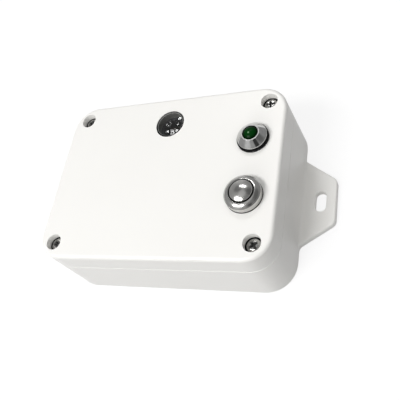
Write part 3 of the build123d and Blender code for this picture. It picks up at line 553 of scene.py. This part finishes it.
def window_glass(name):
    """Clear glass: seen straight through, with the reflections of its polished faces."""
    finish = Finish(name)
    film = finish.noise(0.4, 3.0)
    facing = Value(finish, finish.node("LayerWeight", inputs={"Blend": 0.5}).outputs["Facing"])
    return finish.done(
        finish.shader(
            Base_Color=(0.95, 0.97, 0.96),
            Metallic=1.0,
            Roughness=finish.spread(film, 0.02, 0.06),
            Alpha=GLASS_MIRROR + facing**5 * (1.0 - GLASS_MIRROR),
        )
    )


def tinted_lens(name, color, edge, spot):
    """A deep-coloured lens, painted darker towards its edge as painted shade, with a small painted highlight
    spot.
    """
    finish = Finish(name)
    # Painted highlight: a small light spot painted round the given point.
    highlight_radius, highlight_fade, painted_highlight_tone = 0.5, 0.3, (0.3, 0.5, 0.3)
    # Painted shade: the lens is painted darker towards its edge.
    rim = finish.soft_step(finish.radius(), edge * 0.5, edge)
    off_highlight = finish.vector("LENGTH", finish.vector("SUBTRACT", finish.place, spot))
    highlight_mask = finish.soft_step(highlight_radius - off_highlight, 0.0, highlight_fade)
    swirl = finish.noise(0.7, 2.0)
    body = finish.blend(swirl * 0.6, color, shade(color, 0.6))
    body = finish.blend(rim, body, shade(color, 0.12))
    return finish.done(
        finish.shader(
            Base_Color=finish.blend(highlight_mask * 0.55, body, painted_highlight_tone),
            Roughness=finish.spread(swirl, 0.08, 0.14),
            Specular_IOR_Level=0.04,
        )
    )


def soften(points, steps):
    """An outline whose third numbers, where given, are the radii of its rounded corners."""
    outline = []
    count = len(points)
    for index, point in enumerate(points):
        if len(point) == 2:
            outline.append(point)
            continue
        corner, radius = Vector(point[:2]), point[2]
        before = (Vector(points[index - 1][:2]) - corner).normalized()
        after = (Vector(points[(index + 1) % count][:2]) - corner).normalized()
        half = acos(max(-1.0, min(1.0, before.dot(after)))) / 2
        centre = corner + (before + after).normalized() * radius / sin(half)
        start = corner + before * radius / tan(half) - centre
        end = corner + after * radius / tan(half) - centre
        first = atan2(start.y, start.x)
        turn = (atan2(end.y, end.x) - first + pi) % (2 * pi) - pi
        for step in range(steps + 1):
            angle = first + turn * step / steps
            outline.append((centre.x + radius * cos(angle), centre.y + radius * sin(angle)))
    return outline


def dome(edge_radius, edge_height, top, steps=18):
    """Points of a spherical cap from its apex to its edge."""
    rise = top - edge_height
    ball = (edge_radius**2 + rise**2) / (2 * rise)
    reach = acos((ball - rise) / ball)
    angles = [reach * step / steps for step in range(steps + 1)]
    return [(ball * sin(angle), top - ball + ball * cos(angle)) for angle in angles]


def bow(start, through, end, steps=10):
    """Points of the arc through three points, the first and last among them."""
    (ax, ay), (bx, by), (cx, cy) = start, through, end
    d = 2 * (ax * (by - cy) + bx * (cy - ay) + cx * (ay - by))
    ux = ((ax**2 + ay**2) * (by - cy) + (bx**2 + by**2) * (cy - ay) + (cx**2 + cy**2) * (ay - by)) / d
    uy = ((ax**2 + ay**2) * (cx - bx) + (bx**2 + by**2) * (ax - cx) + (cx**2 + cy**2) * (bx - ax)) / d
    radius = hypot(ax - ux, ay - uy)
    first, last = atan2(ay - uy, ax - ux), atan2(cy - uy, cx - ux)
    turn = (last - first + pi) % (2 * pi) - pi
    angles = [first + turn * step / steps for step in range(steps + 1)]
    return [(ux + radius * cos(angle), uy + radius * sin(angle)) for angle in angles]


def finish_mesh(name, mesh, sharp_angle=35.0):
    """Outward faces, smooth but for the sharp edges, and an object to show them."""
    body = bmesh.new()
    body.from_mesh(mesh)
    bmesh.ops.remove_doubles(body, verts=body.verts, dist=WELD)
    bmesh.ops.recalc_face_normals(body, faces=body.faces)
    body.to_mesh(mesh)
    body.free()
    mesh.polygons.foreach_set("use_smooth", [True] * len(mesh.polygons))
    mesh.set_sharp_from_angle(angle=radians(sharp_angle))
    piece = bpy.data.objects.new(name, mesh)
    bpy.context.scene.collection.objects.link(piece)
    return piece


def lathe_mesh(name, outline, steps):
    """A surface of revolution about the local upright axis, from (radius, height) in millimetres."""
    verts, rings = [], []
    for radius, height in outline:
        count = steps if radius > 1e-6 else 1
        rings.append([len(verts) + step for step in range(count)])
        for step in range(count):
            angle = 2 * pi * step / steps
            verts.append((radius * cos(angle) * MM, radius * sin(angle) * MM, height * MM))
    closed = all(len(ring) > 1 for ring in rings)
    faces = []
    for index in range(len(rings) if closed else len(rings) - 1):
        low, high = rings[index], rings[(index + 1) % len(rings)]
        for step in range(steps):
            follow = (step + 1) % steps
            if len(low) == 1:
                faces.append((low[0], high[step], high[follow]))
            elif len(high) == 1:
                faces.append((low[step], high[0], low[follow]))
            else:
                faces.append((low[step], high[step], high[follow], low[follow]))
    mesh = bpy.data.meshes.new(name)
    mesh.from_pydata(verts, [], faces)
    return mesh


def coil_mesh(name, radius, wire, turns, bottom, top, steps_per_turn=40, sides=10):
    """A round-wire compression spring about the local upright axis, in millimetres."""
    steps = int(turns * steps_per_turn)
    rise = (top - bottom) / (2 * pi * radius * turns)
    verts = []
    for step in range(steps + 1):
        angle = 2 * pi * turns * step / steps
        out = Vector((cos(angle), sin(angle), 0.0))
        along = Vector((-sin(angle), cos(angle), rise)).normalized()
        over = along.cross(out)
        centre = out * radius + Vector((0.0, 0.0, bottom + (top - bottom) * step / steps))
        for side in range(sides):
            around = 2 * pi * side / sides
            verts.append((centre + (out * cos(around) + over * sin(around)) * wire) * MM)
    faces = [tuple(range(sides)), tuple(range(steps * sides, (steps + 1) * sides))]
    for step in range(steps):
        for side in range(sides):
            a, b = step * sides + side, step * sides + (side + 1) % sides
            faces.append((a, b, b + sides, a + sides))
    mesh = bpy.data.meshes.new(name)
    mesh.from_pydata(verts, [], faces)
    return mesh


def dress(piece, material, node, place, replaces=True):
    """Gives a new piece its place, finish and body, and hides the node it replaces."""
    piece.location = place
    piece.data.materials.clear()
    piece.data.materials.append(material)
    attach(piece, BODY_OF[node])
    if replaces:
        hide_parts(node)


def turned(name, node, outline, material, replaces=True):
    """A turned piece that stands for a node, about that node's axis."""
    steps = bpy.context.scene.lightsensor_sizes.steps
    piece = finish_mesh(name, lathe_mesh(name, outline, steps))
    dress(piece, material, node, middle(node), replaces)


def coat_node(node, material):
    """Gives a CAD node that shows as it is its finish."""
    for slot in frame["nodes"][node].material_slots:
        slot.material = material


def settings():
    """The colours, sizes, gloss and studio levels that the scene holds."""
    scene = bpy.context.scene
    return (
        scene.lightsensor_colors,
        scene.lightsensor_sizes,
        scene.lightsensor_gloss,
        scene.lightsensor_studio,
    )


class LIGHTSENSOR_OT_enclosure(bpy.types.Operator):
    """Finish the moulded base and lid"""

    bl_idname = "lightsensor.enclosure"
    bl_label = "Enclosure"

    def execute(self, context):
        colors, _, gloss, _ = settings()
        shell = moulded_shell("moulded_shell", colors.enclosure, gloss.shell)
        for node in ("base_shell", "lid"):
            coat_node(node, shell)
        return {"FINISHED"}


class LIGHTSENSOR_OT_lid_screws(bpy.types.Operator):
    """Build the four cross-recess screws at the bottom of their wells"""

    bl_idname = "lightsensor.lid_screws"
    bl_label = "Lid screws"

    def execute(self, context):
        colors, sizes, gloss, _ = settings()
        low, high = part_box("lid_screws")
        head_radius, shank, head_height, chamfer, groove, recess_radius = 2.75, 1.48, 2.0, 0.4, 0.22, 2.05
        turns, steps, sharp_angle = (20.0, 62.0, 38.0, 5.0), 96, 30.0
        head_top, tip = (high.z - LID_FACE) / MM, (low.z - LID_FACE) / MM
        seat = head_top - head_height
        thread_top, neck = seat - 1.2, seat - 0.6
        steel = shade(colors.screw_steel, 0.8)
        metal = recessed_metal("screw_plating", steel, gloss.screws, head_top, recess_radius)
        sealing = rubber("screw_seal_rubber", colors.black_rubber, gloss.rubber)
        pitch = sizes.thread_pitch / MM
        outline = [(0.0, tip), (shank - chamfer, tip)]
        height = tip + chamfer
        while height < thread_top:
            outline += [
                (shank - groove, height), (shank, height + 0.4 * pitch), (shank, height + 0.6 * pitch),
            ]
            height += pitch
        outline += [
            (shank - groove, height),
            (shank, neck),
            (shank, seat),
            (head_radius, seat, 0.06),
            (head_radius, head_top - 0.75, 0.5),
            (head_radius * 0.6, head_top, 1.2),
            (0.0, head_top),
        ]
        blank = lathe_mesh("screw_blank", soften(outline, sizes.corner_steps), steps)
        screw = self.recessed(blank, head_top, sizes)
        spots = [(x, y) for x in (low.x, high.x) for y in (low.y, high.y)]
        inset = head_radius * MM
        for index, ((x, y), turn) in enumerate(zip(spots, turns)):
            place = (x + (inset if x < 0 else -inset), y + (inset if y < 0 else -inset), LID_FACE)
            piece = finish_mesh(f"lid_screw_{index + 1}", screw.copy(), sharp_angle)
            piece.rotation_euler.z = radians(turn)
            dress(piece, metal, "lid_screws", place)
            self.seal(f"screw_seal_{index + 1}", place, seat, head_radius, sealing)
        return {"FINISHED"}

    def seal(self, name, place, seat, head_radius, sealing):
        """A rubber seal under a screw's head, with a lip round the head."""
        bore, inner, outer, foot, lip = 1.5, head_radius + 0.05, 3.35, seat - 0.6, seat + 1.15
        corner_steps, steps = 4, 64
        outline = [
            (bore, foot), (outer, foot), (outer, lip, 0.12), (inner, lip, 0.2), (inner, seat), (bore, seat),
        ]
        ring = finish_mesh(name, lathe_mesh(name, soften(outline, corner_steps), steps))
        dress(ring, sealing, "screw_seals", place)

    def recessed(self, blank, head_top, sizes):
        """The blank with a tapered cross sunk into its head."""
        cutter = bpy.data.meshes.new("cross_cutter")
        body = bmesh.new()
        reach, half, over = sizes.cross_length / 2, sizes.cross_width / 2, 0.2 * MM
        reach_below, half_below = reach * 0.5, half * 0.6
        top, bottom = head_top * MM + over, head_top * MM - sizes.cross_depth
        sides = ((0, 1, 2, 3), (7, 6, 5, 4), (0, 4, 5, 1), (1, 5, 6, 2), (2, 6, 7, 3), (3, 7, 4, 0))
        for quarter in range(4):
            turn = Matrix.Rotation(quarter * pi / 2, 4, "Z")
            wing = [
                (0.0, -half, top), (reach, -half, top), (reach, half, top), (0.0, half, top),
                (0.0, -half_below, bottom), (reach_below, -half_below, bottom),
                (reach_below, half_below, bottom), (0.0, half_below, bottom),
            ]
            corners = [body.verts.new(turn @ Vector(point)) for point in wing]
            for side in sides:
                body.faces.new([corners[corner] for corner in side])
        bmesh.ops.create_cone(
            body, cap_ends=True, segments=24, radius1=0.35 * MM, radius2=0.9 * MM,
            depth=top - bottom + over, matrix=Matrix.Translation((0, 0, (top + bottom - over) / 2)),
        )
        bmesh.ops.recalc_face_normals(body, faces=body.faces)
        body.to_mesh(cutter)
        body.free()
        return carve("screw_recessed", blank, cutter)


def carve(name, blank, cutter):
    """The mesh of blank with cutter taken out of it."""
    objects = []
    for mesh in (blank, cutter):
        body = bmesh.new()
        body.from_mesh(mesh)
        bmesh.ops.recalc_face_normals(body, faces=body.faces)
        body.to_mesh(mesh)
        body.free()
        objects.append(bpy.data.objects.new(mesh.name, mesh))
        bpy.context.scene.collection.objects.link(objects[-1])
    cut = objects[0].modifiers.new("cut", "BOOLEAN")
    cut.operation = "DIFFERENCE"
    cut.solver = "EXACT"
    cut.use_self = True
    cut.object = objects[1]
    graph = bpy.context.evaluated_depsgraph_get()
    result = bpy.data.meshes.new_from_object(objects[0].evaluated_get(graph))
    result.name = name
    for piece in objects:
        bpy.data.objects.remove(piece)
    if len(result.polygons) == 0:
        raise RuntimeError(f"{name} came out empty")
    return result


class LIGHTSENSOR_OT_window(bpy.types.Operator):
    """Build the light-sensor window: its ring, glass, cup and photodiode"""

    bl_idname = "lightsensor.window"
    bl_label = "Window"

    def execute(self, context):
        colors, sizes, _, _ = settings()
        outer, inner, flange, recess, inside, depth = 6.4, 5.6, 8.0, -0.1, -2.6, -3.4
        edge, chamfer = sizes.ring_edge / MM, 0.17
        ring = [
            (inner, recess - chamfer), (inner + chamfer, recess), (outer, recess, edge), (outer, inside),
            (flange, inside), (flange, depth), (inner, depth),
        ]
        turned(
            "window_ring", "window_gasket", soften(ring, sizes.corner_steps),
            ring_black("window_ring_gloss", colors.window_black, inner, chamfer),
        )
        bevel, crown, glass_foot, glass_radius = 0.25, 0.35, -1.3, inner - 0.02
        shoulder = recess - bevel
        lens = dome(inner - bevel, shoulder, shoulder + crown) + [
            (glass_radius, shoulder - bevel), (glass_radius, glass_foot), (0.0, glass_foot),
        ]
        turned("window_lens_ground", "window_lens", lens, window_glass("window_clear_glass"))
        self.cup(colors, depth)
        self.sensor(colors)
        self.clip(colors)
        return {"FINISHED"}

    def cup(self, colors, top):
        """The cup under the glass, its tapered bore cut into ridges."""
        bottom = (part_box("sensor_cup")[0].z - LID_FACE) / MM
        mouth, throat, outer, ridges = 5.2, 3.6, 8.0, 9
        step = (bottom - top) / ridges
        outline = [(outer, top)]
        for ridge in range(ridges):
            radius = mouth + (throat - mouth) * ridge / ridges
            height = top + step * ridge
            outline += [
                (radius, height), (radius - 0.12, height + 0.35 * step), (radius - 0.1, height + 0.9 * step),
            ]
        outline += [(throat, bottom), (outer, bottom)]
        satin = cup_satin("cup_satin", colors.cup_black, top, bottom)
        turned("sensor_cup_baffled", "sensor_cup", outline, satin)

    def sensor(self, colors):
        """The photodiode: a square package with a dome."""
        low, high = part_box("light_sensor")
        side = (high.x - low.x) / MM
        bottom = (low.z - LID_FACE) / MM
        package, edge, dome_radius, dome_rise, sunk = 1.2, 0.2, 1.8, 1.75, 0.05
        face = bottom + package
        mesh = bpy.data.meshes.new("photodiode")
        body = bmesh.new()
        bmesh.ops.create_cube(
            body, size=1.0,
            matrix=Matrix.Translation((0, 0, (bottom + package / 2) * MM))
            @ Matrix.Diagonal((side * MM, side * MM, package * MM, 1.0)),
        )
        bmesh.ops.bevel(body, geom=body.edges[:], offset=edge * MM, segments=2, affect="EDGES")
        body.to_mesh(mesh)
        body.free()
        block = finish_mesh("photodiode_package", mesh)
        resin = satin_black("photodiode_resin", shade(colors.sensor_package, 0.25), 0.12)
        dress(block, resin, "light_sensor", middle("light_sensor"))
        cap = dome(dome_radius, face - sunk, face + dome_rise) + [(0.0, face - sunk)]
        turned("photodiode_dome", "light_sensor", cap, resin, replaces=False)

    def clip(self, colors):
        """The sprung clip that holds the photodiode: a rim with flat fingers bent towards the middle."""
        sheet, rim, rim_outer, rim_height, polished_to = 0.12, 4.6, 5.15, -4.4, 4.2
        # azimuth, inner and outer radius, half width at both, height on the middle line, rise along Y
        fingers = (
            (-147.0, 2.3, 4.4, 0.36, 0.60, -2.4, 0.61),
            (-92.0, 1.0, 4.2, 0.80, 1.00, -2.3, 0.61),
            (-38.0, 1.9, 4.2, 0.45, 0.70, -2.3, 0.61),
            (-5.0, 2.6, 4.2, 0.20, 0.40, -3.3, -0.20),
            (44.0, 2.2, 3.1, 0.14, 0.20, -4.4, 0.61),
            (84.0, 2.4, 4.2, 0.20, 0.45, -3.6, 0.05),
            (122.0, 2.6, 4.2, 0.30, 0.45, -4.6, 0.50),
            (152.0, 1.7, 4.2, 0.30, 0.45, -3.8, 0.50),
            (180.0, 2.4, 4.2, 0.20, 0.40, -3.6, 0.10),
        )
        mesh = bpy.data.meshes.new("sensor_clip")
        body = bmesh.new()
        edges = []
        for azimuth, inner, outer, tip_half, root_half, height, rise in fingers:
            along = direction(azimuth, 0.0)
            across = Vector((-along.y, along.x, 0.0))
            for side in (-1, 1):
                tip = along * inner + across * side * tip_half
                root = along * outer + across * side * root_half
                spots = [tip, root]
                for spot in spots:
                    spot.z = height + rise * spot.y
                foot = spots[1].normalized()
                for radius in (rim, rim_outer):
                    spots.append(Vector((foot.x, foot.y, 0.0)).normalized() * radius)
                    spots[-1].z = rim_height
                edges.append([body.verts.new(spot * MM) for spot in spots])
        for index, edge in enumerate(edges):
            follow = edges[(index + 1) % len(edges)]
            start = 0 if index % 2 == 0 else 2
            for row in range(start, 3):
                body.faces.new((edge[row], edge[row + 1], follow[row + 1], follow[row]))
        body.to_mesh(mesh)
        body.free()
        piece = finish_mesh("sensor_clip", mesh)
        mesh.polygons.foreach_set("use_smooth", [False] * len(mesh.polygons))
        thick = piece.modifiers.new("sheet", "SOLIDIFY")
        thick.thickness = sheet * MM
        thick.offset = -1.0
        metal = clip_metal("clip_plating", colors.spring_steel, polished_to)
        dress(piece, metal, "battery_springs", middle("light_sensor"), replaces=False)


class LIGHTSENSOR_OT_indicator(bpy.types.Operator):
    """Build the LED indicator: chrome bezel, rubber washer and green lens"""

    bl_idname = "lightsensor.indicator"
    bl_label = "LED indicator"

    def execute(self, context):
        colors, sizes, gloss, _ = settings()
        corner = sizes.corner_steps
        head, seat, rim, cone, ring, lens = 5.9, 1.5, 2.1, 4.3, 3.56, 3.05
        barrel, foot, pocket, ledge, lens_foot = 3.95, -11.0, 3.45, -3.2, 3.4
        bore, squeezed = lens + 0.05, head + 0.43
        shoulder = cone - 0.33
        crown = shoulder + 1.4
        # Centre of the lens's painted highlight spot.
        chip = (-0.27, -0.57, crown)
        bezel = [
            (bore, cone, 0.05), (ring, cone, 0.08), (head, rim, sizes.rim_edge / MM), (head, seat, 0.1),
            (barrel, seat), (barrel, foot), (pocket, foot), (pocket, ledge), (bore, ledge),
        ]
        turned(
            "led_bezel_plated", "led_bezel", soften(bezel, corner),
            plated_metal("bezel_chrome", colors.chrome, gloss.chrome, satin_above=cone - 0.04),
        )
        washer = [(barrel, 0.0), (squeezed, 0.0, 0.25), (squeezed, seat, 0.5), (barrel, seat)]
        turned(
            "led_washer_moulded", "led_washer", soften(washer, corner),
            rubber("washer_rubber", colors.black_rubber, gloss.rubber),
        )
        drop = dome(lens, shoulder, crown) + [
            (lens, ledge), (lens_foot, ledge), (lens_foot, ledge - 1.0), (0.0, ledge - 1.0),
        ]
        turned(
            "led_lens_cast", "led_lens", drop,
            tinted_lens("led_green_lens", colors.led_green, lens, chip),
        )
        return {"FINISHED"}


class LIGHTSENSOR_OT_button(bpy.types.Operator):
    """Build the push button: steel bezel, domed cap and return spring"""

    bl_idname = "lightsensor.button"
    bl_label = "Push button"

    def execute(self, context):
        colors, sizes, gloss, _ = settings()
        corner = sizes.corner_steps
        polish = (colors.stainless, gloss.stainless)
        flange, seal, flange_top, crown, bore = 7.05, 0.35, 2.75, 4.0, 4.87
        web_top, web_bottom, web_bore, rear, barrel, foot = -1.2, -2.4, 1.68, 4.6, 6.0, -12.0
        bevel = (flange - 0.32, flange_top + 0.33)
        shoulder = (flange - 1.05, crown - 0.37)
        lip = (bore + 0.14, crown - 0.01)
        outline = (
            [(bore, crown, 0.1), (bore, web_top), (web_bore, web_top), (web_bore, web_bottom),
             (rear, web_bottom), (rear, foot), (barrel, foot), (barrel, seal), (flange, seal, 0.08),
             (flange, flange_top, 0.15)]
            + bow(bevel, shoulder, lip)
        )
        turned(
            "button_bezel_turned", "button_bezel", soften(outline, corner),
            gapped_steel("button_ring_stainless", *polish, gap_radius=bore + 0.02, gap_top=crown - 0.14),
        )
        cap, cap_edge, cap_top, skirt = 4.35, 4.35, 5.55, 0.6
        stem, stem_foot, stem_step, stem_tip, skirt_foot = 1.6, -3.9, -3.4, 1.4, 0.3
        inner, ceiling, cap_steps = cap - skirt, cap_edge - skirt, 28
        outline = dome(cap, cap_edge, cap_top, cap_steps)[:-1] + [
            (cap, cap_edge, 0.4), (cap, skirt_foot), (inner, skirt_foot), (inner, ceiling),
            (stem, ceiling), (stem, stem_step), (stem_tip, stem_step), (stem_tip, stem_foot),
            (0.0, stem_foot),
        ]
        turned(
            "button_cap_turned", "button_cap", soften(outline, corner),
            gapped_steel("button_cap_stainless", *polish, gap_radius=cap + 0.05, gap_top=cap_edge - 0.35),
        )
        coat_node("button_gasket", rubber("button_seal_rubber", colors.black_rubber, gloss.rubber))
        self.spring(colors, web_top, ceiling)
        return {"FINISHED"}

    def spring(self, colors, seat, under_cap):
        """The return spring between the bezel's web and the cap."""
        radius, wire, turns, gap = 2.7, 0.22, 3.5, 0.05
        end = wire + gap
        mesh = coil_mesh("button_spring_wound", radius, wire, turns, seat + end, under_cap - end)
        spring = finish_mesh("button_spring_wound", mesh)
        place = middle("button_cap")
        steel = plated_metal("button_spring_steel", colors.spring_steel, 0.22)
        dress(spring, steel, "button_spring", place)
        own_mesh(spring)


class LIGHTSENSOR_OT_inner_parts(bpy.types.Operator):
    """Finish the parts inside the enclosure"""

    bl_idname = "lightsensor.inner_parts"
    bl_label = "Inner parts"

    def execute(self, context):
        colors, _, gloss, _ = settings()
        finishes = {
            "black_rubber": rubber("seal_rubber", colors.black_rubber, gloss.rubber),
            "screw_steel": plated_metal("small_screw_plating", colors.screw_steel, 0.3),
            "insert_brass": turned_metal("insert_turned_brass", colors.insert_brass, 0.3),
            "cup_black": plain_moulding("black_moulding", colors.cup_black, 0.45),
            "nickel": plated_metal("nut_nickel", colors.nickel, 0.28),
            "contact_brass": plated_metal("contact_plating", colors.contact_brass, 0.25),
            "spring_steel": plated_metal("spring_nickel", colors.spring_steel, 0.25),
            "tinned": plated_metal("tinned_metal", colors.tinned, 0.35),
            "circuit_board": circuit_board("board_solder_mask", colors.circuit_board),
            "chip_black": plain_moulding("chip_resin", colors.chip_black, 0.6),
            "ceramic": plain_moulding("ceramic_body", colors.ceramic, 0.5),
            "connector_white": plain_moulding("connector_nylon", colors.connector_white, 0.42),
            "cell_wrap": cell_sleeve("cell_sleeve", colors.cell_wrap),
            "lead_red": plain_moulding("lead_red_sleeve", colors.lead_red, 0.35),
            "lead_black": plain_moulding("lead_black_sleeve", colors.lead_black, 0.35),
            "lead_grey": plain_moulding("lead_grey_sleeve", colors.lead_grey, 0.35),
        }
        dark_mask = shade(colors.circuit_board, 0.08)
        coat_node("sensor_board", circuit_board("sensor_board_mask", dark_mask))
        coated = {"base_shell", "lid", "button_gasket", "sensor_board"}
        for node, piece in frame["nodes"].items():
            if node not in coated and not piece.hide_render:
                coat_node(node, finishes[SLOT_OF[node]])
        return {"FINISHED"}


def softbox(name, azimuth, elevation, distance, angles, level, roll=0.0, mirrored=True):
    """An area lamp, its width and height in degrees, that lights a surface facing it to this level."""
    lamp = bpy.data.lights.new(name, "AREA")
    lamp.shape = "RECTANGLE"
    lamp.size, lamp.size_y = (2 * distance * tan(radians(angle / 2)) for angle in angles)
    lamp.energy = level * (pi * distance) ** 2
    piece = bpy.data.objects.new(name, lamp)
    bpy.context.scene.collection.objects.link(piece)
    toward = direction(azimuth, elevation)
    piece.location = toward * distance
    turn = toward.to_track_quat("Z", "Y").to_matrix() @ Matrix.Rotation(radians(roll), 3, "Z")
    piece.rotation_euler = turn.to_euler()
    piece.visible_camera = False
    piece.visible_glossy = mirrored


class LIGHTSENSOR_OT_stage(bpy.types.Operator):
    """Set the pale floor, the studio lamps, the world and the camera"""

    bl_idname = "lightsensor.stage"
    bl_label = "Stage"

    def execute(self, context):
        scene = context.scene
        studio = scene.lightsensor_studio
        self.floor()
        self.tent()
        softbox("softbox_front", -130.0, 57.0, 0.9, (32.0, 15.0), studio.front_box, roll=22.0)
        softbox("softbox_rear", 99.0, 49.7, 1.4, (25.0, 3.8), studio.rear_box, roll=-15.0)
        softbox("fill_low", -98.0, 22.0, 1.6, (41.0, 18.0), studio.low_fill, mirrored=False)
        softbox("fill_side", -10.0, 35.0, 1.6, (36.0, 36.0), studio.side_fill, mirrored=False)
        self.world(scene, studio.ambient)
        scene.view_settings.view_transform = "Standard"
        self.camera(scene)
        return {"FINISHED"}

    def floor(self):
        """A pale floor, shown white to the camera and in reflections, with the object's shadow on it."""
        mesh = bpy.data.meshes.new("studio_floor")
        half = FLOOR_SIDE / 2
        corners = [(-half, -half, 0), (half, -half, 0), (half, half, 0), (-half, half, 0)]
        mesh.from_pydata(corners, [], [(0, 1, 2, 3)])
        floor = bpy.data.objects.new("studio_floor", mesh)
        bpy.context.scene.collection.objects.link(floor)
        floor.location.z = -FLOOR_GAP
        finish = Finish("floor_paper")
        lit = Value(finish, finish.node("BsdfDiffuse", inputs={"Color": (FLOOR_TONE,) * 3}).outputs[0])
        near, far = 250.0, 1200.0
        tone = finish.spread(finish.soft_step(finish.radius(), near, far), 0.8, 1.0)
        shown = Value(finish, finish.node("AddShader", inputs={0: lit, 1: finish.glow(tone)}).outputs[0])
        path = finish.node("LightPath").outputs
        rays = [Value(finish, path[ray]) for ray in ("Is Camera Ray", "Is Glossy Ray")]
        seen = finish.math("MAXIMUM", *rays)
        mixed = finish.node("MixShader", inputs={0: seen, 1: lit, 2: shown}).outputs[0]
        mesh.materials.append(finish.done(Value(finish, mixed)))

    def tent(self):
        """The soft tent of cloth and cards round the set, which only polished pieces mirror."""
        mesh = bpy.data.meshes.new("studio_tent")
        body = bmesh.new()
        bmesh.ops.create_uvsphere(body, u_segments=48, v_segments=24, radius=TENT_RADIUS)
        below = [vert for vert in body.verts if vert.co.z < -0.01]
        bmesh.ops.delete(body, geom=below, context="VERTS")
        bmesh.ops.reverse_faces(body, faces=body.faces)
        body.to_mesh(mesh)
        body.free()
        tent = bpy.data.objects.new("studio_tent", mesh)
        bpy.context.scene.collection.objects.link(tent)
        for ray in ("camera", "diffuse", "transmission", "volume_scatter", "shadow"):
            setattr(tent, "visible_" + ray, False)
        finish = Finish("tent_cloth")
        toward = finish.vector("NORMALIZE", finish.place)
        tone = TENT_LEVEL
        for azimuth, elevation, inner, outer, card_tone in TENT_CARDS:
            facing = finish.vector("DOT_PRODUCT", toward, direction(azimuth, elevation))
            card = finish.soft_step(facing, cos(radians(outer)), cos(radians(inner)))
            tone = tone + card * (card_tone - tone)
        mesh.materials.append(finish.done(finish.glow(tone)))

    def world(self, scene, ambient):
        """A plain grey world for the light, shown white like the floor."""
        world = bpy.data.worlds.new("studio_world")
        world.use_nodes = True
        tree = world.node_tree
        background = tree.nodes["Background"]
        background.inputs["Color"].default_value = (1.0, 1.0, 1.0, 1.0)
        path = tree.nodes.new("ShaderNodeLightPath").outputs
        shown = tree.nodes.new("ShaderNodeMath")
        shown.operation = "MAXIMUM"
        tree.links.new(path["Is Camera Ray"], shown.inputs[0])
        tree.links.new(path["Is Glossy Ray"], shown.inputs[1])
        strength = tree.nodes.new("ShaderNodeMapRange")
        strength.inputs["To Min"].default_value = ambient
        strength.inputs["To Max"].default_value = 1.0
        tree.links.new(shown.outputs[0], strength.inputs["Value"])
        tree.links.new(strength.outputs[0], background.inputs["Strength"])
        scene.world = world

    def camera(self, scene):
        """The photograph's camera."""
        data = bpy.data.cameras.new("photo_camera")
        data.lens = CAMERA_LENS
        data.sensor_width = CAMERA_SENSOR
        data.clip_start = CAMERA_CLIP
        camera = bpy.data.objects.new("photo_camera", data)
        scene.collection.objects.link(camera)
        back = -CAMERA_FORWARD.normalized()
        right = (CAMERA_RIGHT - back * CAMERA_RIGHT.dot(back)).normalized()
        up = back.cross(right)
        turn = Matrix((right, up, back)).transposed().to_4x4()
        camera.matrix_world = Matrix.Translation(CAMERA_PLACE) @ turn
        scene.camera = camera


class LIGHTSENSOR_PT_panel(bpy.types.Panel):
    """Lists the steps that dress the light sensor"""

    bl_label = "Light Sensor"
    bl_idname = "LIGHTSENSOR_PT_panel"
    bl_space_type = "VIEW_3D"
    bl_region_type = "UI"
    bl_category = "Light Sensor"

    def draw(self, context):
        for step in STEPS:
            self.layout.operator(step.bl_idname)
        for group in (context.scene.lightsensor_sizes, context.scene.lightsensor_gloss):
            for name in group.__annotations__:
                self.layout.prop(group, name)


STEPS = (
    LIGHTSENSOR_OT_enclosure,
    LIGHTSENSOR_OT_lid_screws,
    LIGHTSENSOR_OT_window,
    LIGHTSENSOR_OT_indicator,
    LIGHTSENSOR_OT_button,
    LIGHTSENSOR_OT_inner_parts,
    LIGHTSENSOR_OT_stage,
)
GROUPS = {
    "lightsensor_colors": LIGHTSENSOR_PG_colors,
    "lightsensor_sizes": LIGHTSENSOR_PG_sizes,
    "lightsensor_gloss": LIGHTSENSOR_PG_gloss,
    "lightsensor_studio": LIGHTSENSOR_PG_studio,
}


def register():
    for cls in (*GROUPS.values(), *STEPS, LIGHTSENSOR_PT_panel):
        bpy.utils.register_class(cls)
    for name, group in GROUPS.items():
        setattr(bpy.types.Scene, name, PointerProperty(type=group))


def unregister():
    for name in GROUPS:
        delattr(bpy.types.Scene, name)
    for cls in reversed((*GROUPS.values(), *STEPS, LIGHTSENSOR_PT_panel)):
        bpy.utils.unregister_class(cls)


def main():
    register()
    for step in STEPS:
        group, name = step.bl_idname.split(".")
        getattr(getattr(bpy.ops, group), name)()


if __name__ == "__main__":
    main()
